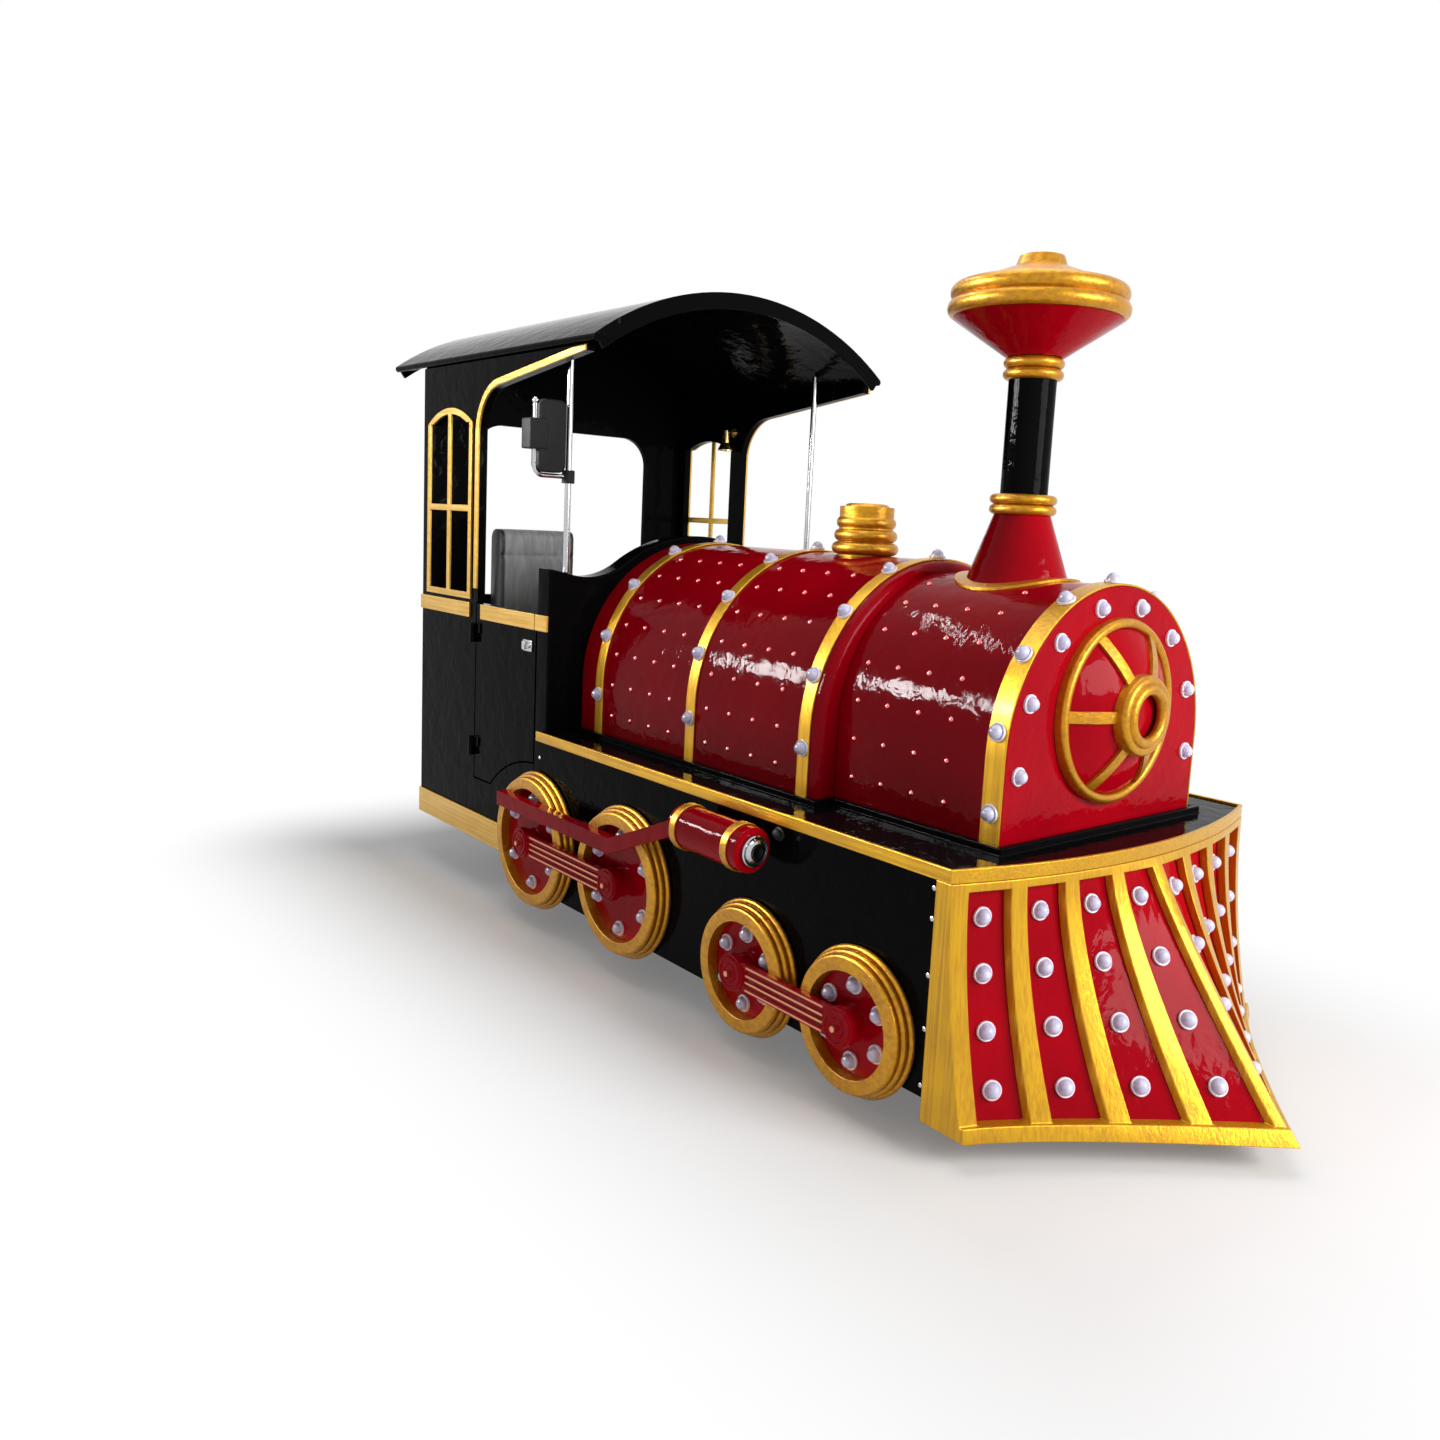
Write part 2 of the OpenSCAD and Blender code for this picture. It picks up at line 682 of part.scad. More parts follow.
module pilot_frame() {
    color(GOLD) {
        for (i = [1 - rib_count : rib_count - 1]) {
            y = i * rib_pitch;
            pilot_wall([y - rib_w / 2, y, y + rib_w / 2], pilot_foot_z, pilot_top_z, rows, seat, rib_proud);
        }
        for (ys = [[panel_half, pilot_half, pilot_edge], [-pilot_edge, -pilot_half, -panel_half]])
            pilot_wall(ys, pilot_z, pilot_head_z, rows, 0, rib_proud, skirt_front_x);
        pilot_wall(rail_ys, pilot_z, pilot_foot_z, 2, -pilot_t, foot_proud);
        pilot_wall(rail_ys, pilot_top_z, pilot_head_z, 1, -pilot_t, rib_proud);
    }
}

// Unit normal of the pilot's face, found from its slopes.
function pilot_slope_y(y, z) = (pilot_x(y + 1, z) - pilot_x(y - 1, z)) / 2;
function pilot_slope_z(y, z) = (pilot_x(y, z + 1) - pilot_x(y, z - 1)) / 2;
function unit(v) = v / norm(v);
function pilot_normal(y, z) = unit([1, -pilot_slope_y(y, z), -pilot_slope_z(y, z)]);
// How far the face rises above its own tangent plane under a lamp's collar
function lamp_rise(y, z, n) = max([for (a = [0 : 30 : 330]) let (
    across = unit(cross([0, 0, 1], n)),
    p = [pilot_x(y, z), y, z] + lamp_d / 2 * (cos(a) * across + sin(a) * cross(n, across)))
    (pilot_x(p[1], p[2]) - p[0]) * n[0]]);

module pilot_lamps() {
    row_h = (pilot_top_z - pilot_foot_z) / lamp_rows;
    for (i = [-rib_count : rib_count - 1], k = [0 : lamp_rows - 1]) {
        y = (i + 0.5) * rib_pitch;
        z = pilot_foot_z + (k + 0.5) * row_h;
        n = pilot_normal(y, z);
        stand = max(0, lamp_rise(y, z, n)) + 2 * seat;
        translate([pilot_x(y, z), y, z] + stand * n) rotate([0, acos(n[2]), atan2(n[1], n[0])]) lamp();
    }
}

// Boiler sections: a half round on straight sides down to the deck
module arch(r, axis_z, low_z) {
    translate([0, axis_z]) circle(r, $fn = 160);
    translate([-r, low_z]) square([2 * r, axis_z - low_z]);
}

module arch_upper(r, axis_z, low_z) {
    intersection() {
        arch(r, axis_z, low_z);
        translate([-r - eps, low_z]) square([2 * (r + eps), axis_z + r]);
    }
}

module smokebox() {
    color(RED) difference() {
        along(boiler_step_x + seat, smokebox_front_x) arch_upper(smokebox_r, smokebox_axis_z, deck_z);
        along(boiler_step_x - eps, smokebox_front_x - shell_t)
            arch_upper(smokebox_r - shell_t, smokebox_axis_z, deck_z - eps);
    }
}

// A round-edged barrel: the upper half turned, the lower half drawn down to the deck.
module barrel_plan(r) {
    translate([0, -r]) square([barrel_l - barrel_round, 2 * r]);
    translate([0, barrel_round - r]) square([barrel_l, 2 * (r - barrel_round)]);
    for (y = [barrel_round - r, r - barrel_round])
        translate([barrel_l - barrel_round, y]) circle(barrel_round);
}

module boiler_barrel() {
    color(RED) difference() {
        translate([bulkhead_x, 0, 0]) union() {
            translate([0, 0, deck_z]) linear_extrude(barrel_up) barrel_plan(barrel_r);
            translate([0, 0, barrel_axis_z]) rotate([0, 90, 0]) rotate_extrude($fn = 160) intersection() {
                rotate(90) barrel_plan(barrel_r);
                square([barrel_r + eps, barrel_l]);
            }
        }
        box([bulkhead_x - eps, -barrel_r - eps, 0], [boiler_step_x + eps, barrel_r + eps, deck_z]);
        along(bulkhead_x - eps, boiler_step_x - barrel_round)
            arch_upper(barrel_r - shell_t, barrel_axis_z, deck_z - eps);
    }
}

band_set_rear = 121;
band_set_front = 56;
rear_band_x = bulkhead_x + band_set_rear;
step_band_x = boiler_step_x - band_set_front;
middle_band_x = (rear_band_x + step_band_x) / 2;
barrel_bands = [rear_band_x, middle_band_x, step_band_x];
front_band_x = smokebox_front_x - front_band_w;

module band(x0, x1, r, axis_z) {
    along(x0, x1) difference() {
        arch_upper(r + band_t, axis_z, deck_z);
        arch(r + seat, axis_z, deck_z - eps);
    }
}

module boiler_bands() {
    color(GOLD) {
        for (x = barrel_bands) band(x - band_w / 2, x + band_w / 2, barrel_r, barrel_axis_z);
        band(front_band_x, smokebox_front_x, smokebox_r, smokebox_axis_z);
    }
}

// A lamp on an arch of radius r, at an angle from the horizontal; below the axis it stands on the flat side.
module arch_lamp(x, r, axis_z, angle) {
    low = min(0, sin(angle)) * r;
    tilt = sin(angle) < 0 ? (cos(angle) < 0 ? 180 : 0) : angle;
    translate([x, 0, axis_z + low]) rotate([tilt, 0, 0])
        translate([0, r, 0]) rotate([-90, 0, 0]) lamp();
}

band_lamp_step = 23.5;
front_lamp_step = 27;
face_lamp_step = 27.5;
face_lamp_inset = 47;
face_lamp_r = smokebox_r - face_lamp_inset;

module boiler_lamps() {
    for (x = barrel_bands, k = [-4 : 4])
        arch_lamp(x, barrel_r + band_t + seat, barrel_axis_z, 90 + k * band_lamp_step);
    for (k = [-4 : 4])
        arch_lamp(front_band_x + front_band_w / 2, smokebox_r + band_t + seat, smokebox_axis_z,
            90 + k * front_lamp_step);
    for (k = [-3.5 : 3.5])
        translate([smokebox_front_x, 0, smokebox_axis_z]) rotate([90 + k * face_lamp_step, 0, 0])
            translate([0, face_lamp_r, 0]) forward() lamp();
}

// Smokebox door: a red dome under a gold ring, curved spokes and a double hub ring
door_disc_r = (smokebox_up + smokebox_r - door_foot - door_head) / 2;
door_disc_z = deck_z + door_foot + door_disc_r;
door_sphere_r = (door_disc_r * door_disc_r + door_bulge * door_bulge) / (2 * door_bulge);
door_ring_w = 26;
door_ring_h = 30;
hub_r = 105;
hub_ring_r = 15;
hub_rise = 22;
hub_inner_set = 36;
hub_inner_rise = 30;
spoke_w = 30;
spoke_t = 9;

module at_door() translate([smokebox_front_x, 0, door_disc_z]) forward() children();

module smokebox_door() {
    color(RED) at_door() intersection() {
        translate([0, 0, door_bulge - door_sphere_r]) sphere(door_sphere_r, $fn = 160);
        cylinder(h = door_bulge + eps, r = door_disc_r - door_ring_w - seat);
    }
}

module smokebox_door_trim() {
    hub_z = door_bulge - door_sphere_r + sqrt(door_sphere_r * door_sphere_r - hub_r * hub_r);
    spoke_l = door_disc_r - door_ring_w / 2 - hub_r + hub_ring_r;
    color(GOLD) at_door() {
        rotate_extrude($fn = 120) {
            translate([door_disc_r - door_ring_w, 0]) square([door_ring_w, door_ring_h - door_ring_w / 2]);
            translate([door_disc_r - door_ring_w / 2, door_ring_h - door_ring_w / 2]) circle(door_ring_w / 2);
        }
        difference() {
            intersection() {
                translate([0, 0, door_bulge - door_sphere_r]) sphere(door_sphere_r + spoke_t, $fn = 160);
                for (k = [0 : spoke_count - 1]) rotate(k * 360 / spoke_count + 90)
                    translate([hub_r - hub_ring_r, -spoke_w / 2, 0])
                        cube([spoke_l, spoke_w, door_bulge + spoke_t]);
            }
            translate([0, 0, door_bulge - door_sphere_r]) sphere(door_sphere_r + seat, $fn = 160);
        }
        difference() {
            rotate_extrude($fn = 96) {
                translate([hub_r - hub_ring_r, hub_z]) square([hub_ring_r, hub_rise]);
                translate([hub_r - hub_ring_r, hub_z + hub_rise]) circle(hub_ring_r);
                translate([hub_r - hub_inner_set, hub_z + hub_inner_rise]) circle(hub_ring_r);
            }
            translate([0, 0, door_bulge - door_sphere_r]) sphere(door_sphere_r + seat, $fn = 160);
        }
    }
}

// Chimney: red saddle cone, black tube, red funnel, gold collars and rim
saddle_r = 147;
saddle_top_r = 78;
collar_h = 56;
collar_r = 92;
neck_collar_r = 82;
neck_collar_h = 60;
chimney_x = boiler_step_x + chimney_set;
stack_foot_z = smokebox_top_z + saddle_h;
funnel_foot_z = stack_foot_z + stack_l;
funnel_top_z = funnel_foot_z + funnel_h;
saddle_sink = smokebox_r - sqrt(smokebox_r * smokebox_r - saddle_r * saddle_r) + eps;
foot_ring_w = 26;
foot_ring_t = 7;

module at_chimney(z) translate([chimney_x, 0, z]) children();

// The saddle cone grown by g, and the smokebox under it grown by g
module saddle_cone(g) {
    at_chimney(smokebox_top_z - saddle_sink)
        cylinder(h = saddle_h + saddle_sink, r1 = saddle_r + g, r2 = saddle_top_r + g);
}

module under_saddle(g) {
    along(chimney_x - 2 * saddle_r, chimney_x + 2 * saddle_r)
        translate([0, smokebox_axis_z]) circle(smokebox_r + g, $fn = 160);
}

module chimney_shell() {
    color(RED) {
        difference() {
            saddle_cone(0);
            under_saddle(seat);
        }
        at_chimney(funnel_foot_z) difference() {
            cylinder(h = funnel_h, r1 = saddle_top_r, r2 = funnel_r);
            translate([0, 0, shell_t])
                cylinder(h = funnel_h, r1 = saddle_top_r - shell_t, r2 = funnel_r - shell_t);
        }
    }
}

module chimney_tube() {
    color(BLACK) at_chimney(stack_foot_z + collar_h) difference() {
        cylinder(h = stack_l - neck_collar_h - collar_h, r = stack_r);
        translate([0, 0, -eps]) cylinder(h = funnel_foot_z, r = stack_r - shell_t);
    }
}

// A turned collar with two round beads, seated between two faces h apart
module collar(r, h) {
    bead = h / 4 - seat;
    translate([0, 0, seat]) rotate_extrude() {
        square([r - bead, h - 2 * seat]);
        for (z = [bead, h - 2 * seat - bead]) translate([r - bead, z]) circle(bead);
    }
}

// The thin gold ring that the saddle cone stands in
module foot_ring() {
    difference() {
        intersection() {
            at_chimney(smokebox_axis_z) cylinder(h = 2 * smokebox_r, r = saddle_r + foot_ring_w);
            under_saddle(seat + foot_ring_t);
        }
        under_saddle(seat);
        saddle_cone(seat);
    }
}

// Funnel rim: two round beads under a low cone with a flat knob
bead_r = 24;
bead_inset = 8;
upper_bead_inset = 14;
upper_bead_z = 65;
rim_plate_t = 20;
cap_inset = 10;
cap_wall_h = 60;
cap_cone_h = 58;
cap_knob_h = 27;
cap_knob_r = 70;
cap_top_r = 60;

module cap_section() {
    wall_r = funnel_r - cap_inset;
    cone_z = cap_wall_h + cap_cone_h;
    polygon([[0, 0], [wall_r, 0], [wall_r, cap_wall_h], [cap_knob_r, cone_z],
        [cap_top_r, cone_z + cap_knob_h], [0, cone_z + cap_knob_h]]);
}

module chimney_trim() {
    color(GOLD) {
        at_chimney(stack_foot_z) collar(collar_r, collar_h);
        at_chimney(funnel_foot_z - neck_collar_h) collar(neck_collar_r, neck_collar_h);
        foot_ring();
        at_chimney(funnel_top_z + seat) rotate_extrude($fn = 120) {
            square([funnel_r - bead_inset, rim_plate_t]);
            translate([funnel_r - bead_inset, bead_r]) circle(bead_r);
            translate([funnel_r - upper_bead_inset, upper_bead_z]) circle(bead_r);
            translate([0, rim_plate_t]) cap_section();
        }
    }
}

// Steam dome: stacked round rings on the barrel's crown
dome_share = 0.42;
dome_x = middle_band_x + dome_share * (step_band_x - middle_band_x);
dome_taper = 6;
dome_core_r = 86;
dome_cap_r = 74;
dome_core_drop = 10;
dome_rings = 4;

module steam_dome() {
    ring_h = dome_h / dome_rings;
    sink = barrel_r - sqrt(barrel_r * barrel_r - dome_r * dome_r) + eps;
    function ring_r(k) = k == dome_rings - 1 ? dome_cap_r : dome_r - k * dome_taper;
    color(GOLD) difference() {
        translate([dome_x, 0, barrel_top_z]) rotate_extrude() {
            translate([0, -sink]) square([dome_core_r, dome_h - dome_core_drop + sink]);
            for (k = [0 : dome_rings - 1])
                translate([ring_r(k) - ring_h / 2, (k + 0.5) * ring_h]) circle(ring_h / 2);
            square([dome_cap_r - ring_h / 2, dome_h]);
        }
        along(dome_x - 2 * dome_r, dome_x + 2 * dome_r)
            translate([0, barrel_axis_z]) circle(barrel_r + seat, $fn = 160);
    }
}

// Cab bulkhead: a low wall with an arched hump that runs out in two round hollows
hump_margin = 68;
hollow_r = 260;
shoulder_rise = 26;
bulkhead_top_z = barrel_top_z + bulkhead_rise;
shoulder_z = bulkhead_top_z - shoulder_drop;
hump_r = barrel_r + hump_margin;
hump_axis_z = bulkhead_top_z - hump_r;
shoulder_y = sqrt(2 * shoulder_drop * (hollow_r + hump_r) - shoulder_drop * shoulder_drop);
hollow_share = hump_r / (hump_r + hollow_r);

module bulkhead_outline() {
    crest = [shoulder_y * hollow_share, hump_axis_z + (shoulder_z + hollow_r - hump_axis_z) * hollow_share];
    edge_z = shoulder_z + shoulder_rise;
    translate([-inner_half, cross_top_z]) square([2 * inner_half, deck_under_z - cross_top_z + eps]);
    difference() {
        polygon([[-body_half, deck_under_z], [body_half, deck_under_z], [body_half, edge_z],
            [shoulder_y, shoulder_z], crest, [-crest[0], crest[1]], [-shoulder_y, shoulder_z],
            [-body_half, edge_z]]);
        for (s = [-1, 1])
            translate([s * shoulder_y, shoulder_z + hollow_r]) circle(hollow_r, $fn = 120);
    }
    intersection() {
        translate([0, hump_axis_z]) circle(hump_r, $fn = 160);
        translate([-crest[0], crest[1] - eps]) square([2 * crest[0], hump_r]);
    }
}

module bulkhead() {
    color(BLACK) along(bulkhead_rear_x, bulkhead_x) bulkhead_outline();
}

// Doors: outline in X and Z, grown by g; the fender line takes the lower front corner
big_z = big_r + big_lift;
small_z = small_r + small_lift;
big_1_x = bulkhead_x - big_back;
wheel_span = skirt_front_x - wheel_lead - big_1_x + big_r;
gap_unit = (wheel_span - 4 * big_r - 4 * small_r) / (big_share + mid_share + small_share);
big_2_x = big_1_x + 2 * big_r + gap_unit * big_share;
small_1_x = big_2_x + big_r + small_r + gap_unit * mid_share;
small_2_x = small_1_x + 2 * small_r + gap_unit * small_share;
fender_back = 40;
fender_gap = 23;
fender_x = big_1_x - fender_back;
fender_z = big_z + big_r + fender_gap - fender_r;
door_rear_x = pillar_x + door_gap;
door_front_x = bulkhead_rear_x - door_gap;

module door_outline(g) {
    difference() {
        translate([door_rear_x - g, door_bottom_z - g])
            square([door_front_x - door_rear_x + 2 * g, door_top_z - door_bottom_z + 2 * g]);
        translate([fender_x, fender_z]) circle(fender_r - g, $fn = 200);
    }
}

// Arched opening above the door, grown by g: upright at the pillar, a round corner and a rising header
arch_r = 170;
arch_set = 13;
arch_rear_x = pillar_x + arch_set;
arch_x = arch_rear_x + arch_r;
header_slope = 7.3;
header_back = 55;
header_drop = 46;
header_front_x = roof_front_x - header_back;
header_z = eave_z - header_drop;
arch_z = header_z - tan(header_slope) * (header_front_x - arch_x + arch_r * sin(header_slope))
    - arch_r * cos(header_slope);

module cab_opening(g) {
    corner = [arch_x - (arch_r + g) * sin(header_slope), arch_z + (arch_r + g) * cos(header_slope)];
    reach = header_front_x + 2 * arch_r - corner[0];
    translate([arch_x, arch_z]) circle(arch_r + g, $fn = 96);
    polygon([[arch_rear_x - g, door_top_z], [arch_rear_x - g, arch_z], [arch_x, arch_z], corner,
        [corner[0] + reach, corner[1] + reach * tan(header_slope)], [corner[0] + reach, door_top_z]]);
}

// Side window, shrunk by g: straight sides under a flat arch, with a bar across at a share of its height
window_rear_x = cab_rear_x + window_inset;
window_w = quarter_l - window_inset - window_jamb;
window_sill_z = door_top_z + window_up;
window_top_z = eave_z - window_drop;
window_h = window_top_z - window_sill_z;
window_arch_r = (window_w * window_w / 4 + window_rise * window_rise) / (2 * window_rise);
window_mid_x = window_rear_x + window_w / 2;
transom_share = 0.474;
transom_z = window_sill_z + transom_share * window_h;

module window_outline(g) {
    translate([window_rear_x + g, window_sill_z + g]) square([window_w - 2 * g, window_h - window_rise - g]);
    intersection() {
        translate([window_rear_x + g, window_top_z - window_rise - eps])
            square([window_w - 2 * g, window_rise + eps]);
        translate([window_mid_x, window_top_z - window_arch_r]) circle(window_arch_r - g, $fn = 120);
    }
}

module cab_side_outline() {
    top_z = roof_under_z(inner_half) + eps;
    difference() {
        union() {
            translate([cab_rear_x, cab_bottom_z])
                square([bulkhead_rear_x - cab_rear_x, top_z - cab_bottom_z]);
            translate([bulkhead_rear_x - eps, arch_z])
                square([header_front_x - bulkhead_rear_x + eps, top_z - arch_z]);
        }
        door_outline(door_gap);
        cab_opening(0);
        translate([arch_rear_x, door_top_z - eps])
            square([bulkhead_rear_x - arch_rear_x + eps, arch_z - door_top_z]);
        window_outline(strip_w);
    }
}

// Hinges: pins stand on the cab side, barrels turn on them with the door
hinge_pin_d = 10;
hinge_barrel_d = 22;
hinge_h = 36;
hinge_y = body_half + hinge_barrel_d / 2 + seat;
hinge_low = 122;
hinge_high = 110;
hinge_zs = [door_bottom_z + hinge_low, door_top_z - hinge_high];
leaf_t = 6;
leaf_l = 44;

// One hinge leaf with its barrel, along X from the pin: dir is 1 on the door and -1 on the cab.
module hinge_half(side, dir, h) {
    cylinder(h = h, d = hinge_barrel_d);
    translate([dir > 0 ? 0 : -leaf_l, side > 0 ? body_half - hinge_y : hinge_y - body_half - leaf_t, 0])
        cube([leaf_l, leaf_t, h]);
}

module hinge_foot(side) {
    for (z = hinge_zs) translate([pillar_x, side * hinge_y, z]) {
        translate([0, 0, -hinge_h]) hinge_half(side, -1, hinge_h - seat);
        translate([0, 0, -eps]) cylinder(h = hinge_h + eps, d = hinge_pin_d);
    }
}

module hinge_barrel(side) {
    for (z = hinge_zs) translate([pillar_x, side * hinge_y, z]) difference() {
        hinge_half(side, 1, hinge_h);
        translate([0, 0, -eps]) cylinder(h = hinge_h + 2 * eps, r = hinge_pin_d / 2 + run);
    }
}

// The space under the roof
module under_roof() {
    translate([roof_rear_x, 0, roof_axis_z]) forward()
        cylinder(h = roof_front_x - roof_rear_x, r = roof_in_r - seat, $fn = 200);
    box([roof_rear_x, -body_w, 0], [roof_front_x, body_w, roof_axis_z]);
}

module cab_side(side) {
    color(BLACK) {
        intersection() {
            side_plate(side, body_half, wall_t) cab_side_outline();
            under_roof();
        }
        hinge_foot(side);
    }
}

module door(side) {
    color(BLACK) {
        side_plate(side, body_half, wall_t) door_outline(0);
        hinge_barrel(side);
    }
}

module door_rail(side) {
    color(GOLD) side_plate(side, body_half + strip_t, strip_t)
        translate([door_rear_x + leaf_l, door_top_z - belt_h])
            square([door_front_x - door_rear_x - leaf_l, belt_h]);
}

// Rear wall with its open middle
rear_round = 120;
rear_opening_w = 2 * (inner_half - rear_jamb);
rear_opening_z = eave_z - rear_drop;

module rear_opening() {
    half = rear_opening_w / 2;
    translate([-half, door_top_z]) square([rear_opening_w, rear_opening_z - rear_round - door_top_z]);
    translate([rear_round - half, rear_opening_z - 2 * rear_round])
        square([rear_opening_w - 2 * rear_round, 2 * rear_round]);
    for (s = [-1, 1]) translate([s * (half - rear_round), rear_opening_z - rear_round]) circle(rear_round);
}

module cab_rear() {
    color(BLACK) along(cab_rear_x, cab_rear_x + wall_t) difference() {
        intersection() {
            translate([-inner_half, cross_top_z]) square([2 * inner_half, roof_top_z - cross_top_z]);
            translate([0, roof_axis_z]) circle(roof_in_r - seat, $fn = 200);
        }
        rear_opening();
    }
}

// The roof's arched section with round edges; depth carries it further down
module roof_section(depth) {
    mid_r = roof_r - roof_t / 2;
    edge_y = roof_half - roof_t / 2;
    span = asin(edge_y / mid_r);
    reach = 2 * roof_r;
    translate([0, roof_axis_z]) {
        intersection() {
            difference() {
                circle(roof_r, $fn = 240);
                circle(roof_in_r - depth, $fn = 240);
            }
            polygon([[0, 0], reach * [sin(span), cos(span)], reach * [-sin(span), cos(span)]]);
        }
        for (side = [-1, 1]) rotate(side * span) translate([0, mid_r]) circle(roof_t / 2);
    }
}

module cab_roof() {
    color(BLACK) {
        along(roof_rear_x, roof_front_x) roof_section(0);
        for (x = [roof_rear_x, roof_front_x - roof_lip_t]) along(x, x + roof_lip_t) roof_section(roof_lip_h);
    }
}

module cab_floor() {
    color(STEEL) box([cab_rear_x + wall_t, -inner_half, cross_top_z], [bulkhead_rear_x, inner_half, floor_z]);
}

// Gold strips: belt rails, window frames with bars, arch strips and plinths
strip_plinth_h = 100;
plinth_front_x = big_1_x - big_r - seat;

module belt_and_plinth() {
    translate([cab_rear_x, door_top_z - belt_h]) square([quarter_l - leaf_l, belt_h]);
    translate([bulkhead_rear_x, door_top_z - belt_h]) square([bulkhead_t, belt_h]);
    translate([cab_rear_x, cab_bottom_z]) square([plinth_front_x - cab_rear_x, strip_plinth_h]);
}

module window_frame() {
    difference() {
        window_outline(0);
        window_outline(strip_w);
    }
    intersection() {
        window_outline(0);
        union() {
            translate([window_mid_x - strip_w / 2, window_sill_z]) square([strip_w, window_h]);
            translate([window_rear_x, transom_z - strip_w / 2]) square([window_w, strip_w]);
        }
    }
}

module arch_strip() {
    intersection() {
        difference() {
            cab_opening(strip_w);
            cab_opening(0);
        }
        translate([arch_rear_x - strip_w, door_top_z + belt_h])
            square([header_front_x - arch_rear_x + strip_w, eave_up]);
    }
}

module cab_trim() {
    color(GOLD) for (side = [-1, 1]) {
        side_plate(side, body_half + strip_t, strip_t) {
            belt_and_plinth();
            window_frame();
        }
        intersection() {
            side_plate(side, body_half + strip_t, strip_t) arch_strip();
            under_roof();
        }
    }
}

// Chrome posts from the bulkhead to the roof
post_set = 25;
post_side_inset = 77;
post_x = bulkhead_x - post_set;
post_side_y = body_half - post_side_inset;

// Height of the bulkhead's top edge beside the hump: the round hollow, then the rising shoulder
function shoulder_at(y) = y < shoulder_y
    ? shoulder_z + hollow_r - sqrt(hollow_r * hollow_r - pow(shoulder_y - y, 2))
    : shoulder_z + shoulder_rise * (y - shoulder_y) / (body_half - shoulder_y);

module roof_posts() {
    foot_z = max(shoulder_at(post_side_y - post_d / 2), shoulder_at(post_side_y + post_d / 2)) + seat;
    top_z = roof_under_z(post_side_y + post_d / 2) - seat;
    color(CHROME) for (side = [-1, 1]) translate([post_x, side * post_side_y, foot_z])
        cylinder(h = top_z - foot_z, d = post_d);
}

// Rear-view mirror on the right post
mirror_drop = 440;
mirror_reach = 53;
mirror_rod_d = 16;
mirror_rod_l = 243;
mirror_knob_d = 24;
mirror_w = 105;
mirror_h = 240;
mirror_t = 54;
mirror_up = 130;
mirror_round = 26;
clamp_d = 44;
clamp_block = [60, 70, 100];
clamp_block_up = 84;
mirror_arm_z = eave_z - mirror_drop;
mirror_rod_y = body_half + mirror_reach;

module mirror() {
    color(BLACK) {
        translate([post_x, -post_side_y, mirror_arm_z - clamp_d / 2]) difference() {
            cylinder(h = clamp_d, d = clamp_d);
            translate([0, 0, -eps]) cylinder(h = clamp_d + 2 * eps, r = post_d / 2 + seat);
        }
        difference() {
            translate([post_x, -post_side_y, mirror_arm_z]) rotate([90, 0, 0])
                cylinder(h = mirror_rod_y - post_side_y, d = mirror_rod_d);
            translate([post_x, -post_side_y, 0]) cylinder(h = roof_top_z, r = post_d / 2 + seat);
        }
        translate([post_x, -mirror_rod_y, mirror_arm_z]) {
            sphere(d = mirror_rod_d);
            cylinder(h = mirror_rod_l, d = mirror_rod_d);
            translate([0, 0, mirror_rod_l]) sphere(d = mirror_knob_d);
        }
        translate([0, -mirror_rod_y, mirror_arm_z + mirror_up - mirror_h / 2])
            along(post_x - mirror_t / 2, post_x + mirror_t / 2)
            soft_rect([0, 0], [mirror_w, mirror_h], mirror_round);
        translate([post_x, -mirror_rod_y, mirror_arm_z + clamp_block_up + clamp_block[2] / 2])
            cube(clamp_block, center = true);
    }
}

// Brass bell on the inside of the left wall
bell_back = 35;
bell_drop = 257;
bell_h = 86;
bell_r = 34;
bell_lip = 4;
bell_waist_r = 20;
bell_waist_z = 34;
bell_crown_r = 13;
bell_wall = 5;
bell_reach = 52;
bell_arm_d = 12;
bell_foot_d = 40;
bell_foot_t = 8;
bell_x = pillar_x - bell_back;
bell_z = eave_z - bell_drop;

module bell() {
    color(GOLD) translate([bell_x, inner_half - bell_reach, bell_z]) {
        rotate_extrude() difference() {
            polygon([[0, bell_h], [bell_crown_r, bell_h], [bell_waist_r, bell_waist_z], [bell_r, bell_lip],
                [bell_r, 0], [0, 0]]);
            polygon([[0, bell_h - 2 * bell_wall], [bell_crown_r - bell_wall, bell_h - 2 * bell_wall],
                [bell_waist_r - bell_wall, bell_waist_z], [bell_r - bell_wall, -eps], [0, -eps]]);
        }
        translate([0, 0, bell_h - bell_wall]) rotate([-90, 0, 0]) {
            cylinder(h = bell_reach, d = bell_arm_d);
            translate([0, 0, bell_reach - bell_foot_t]) cylinder(h = bell_foot_t, d = bell_foot_d);
        }
    }
}

// Driver's seat
seat_gap = 62;
box_inset = 20;
cushion_round = 34;
backrest_round = 40;
cushion_set = 20;
cushion_over = 30;
backrest_set = 40;
backrest_t = 105;
seat_rear_x = cab_rear_x + wall_t + seat_gap;
seat_box_z = floor_z + seat_box_h;
cushion_top_z = seat_box_z + cushion_t;

// A block across the seat's width, less an inset on each side.
module seat_block(x0, x1, z0, z1, inset) {
    half = seat_w / 2 - inset;
    box([x0, -seat_y - half, z0], [x1, half - seat_y, z1]);
}

module seat_base() {
    color(BLACK) seat_block(seat_rear_x, seat_rear_x + seat_l, floor_z, seat_box_z, box_inset);
}

// An upholstered block with a square foot and a round top along the seat's width
module seat_pad(low, high, r) {
    color(SEAT) translate([0, seat_w / 2 - seat_y, 0]) rotate([90, 0, 0]) linear_extrude(seat_w) {
        soft_rect(low, high, r);
        translate(low) square([high[0] - low[0], 2 * r]);
    }
}

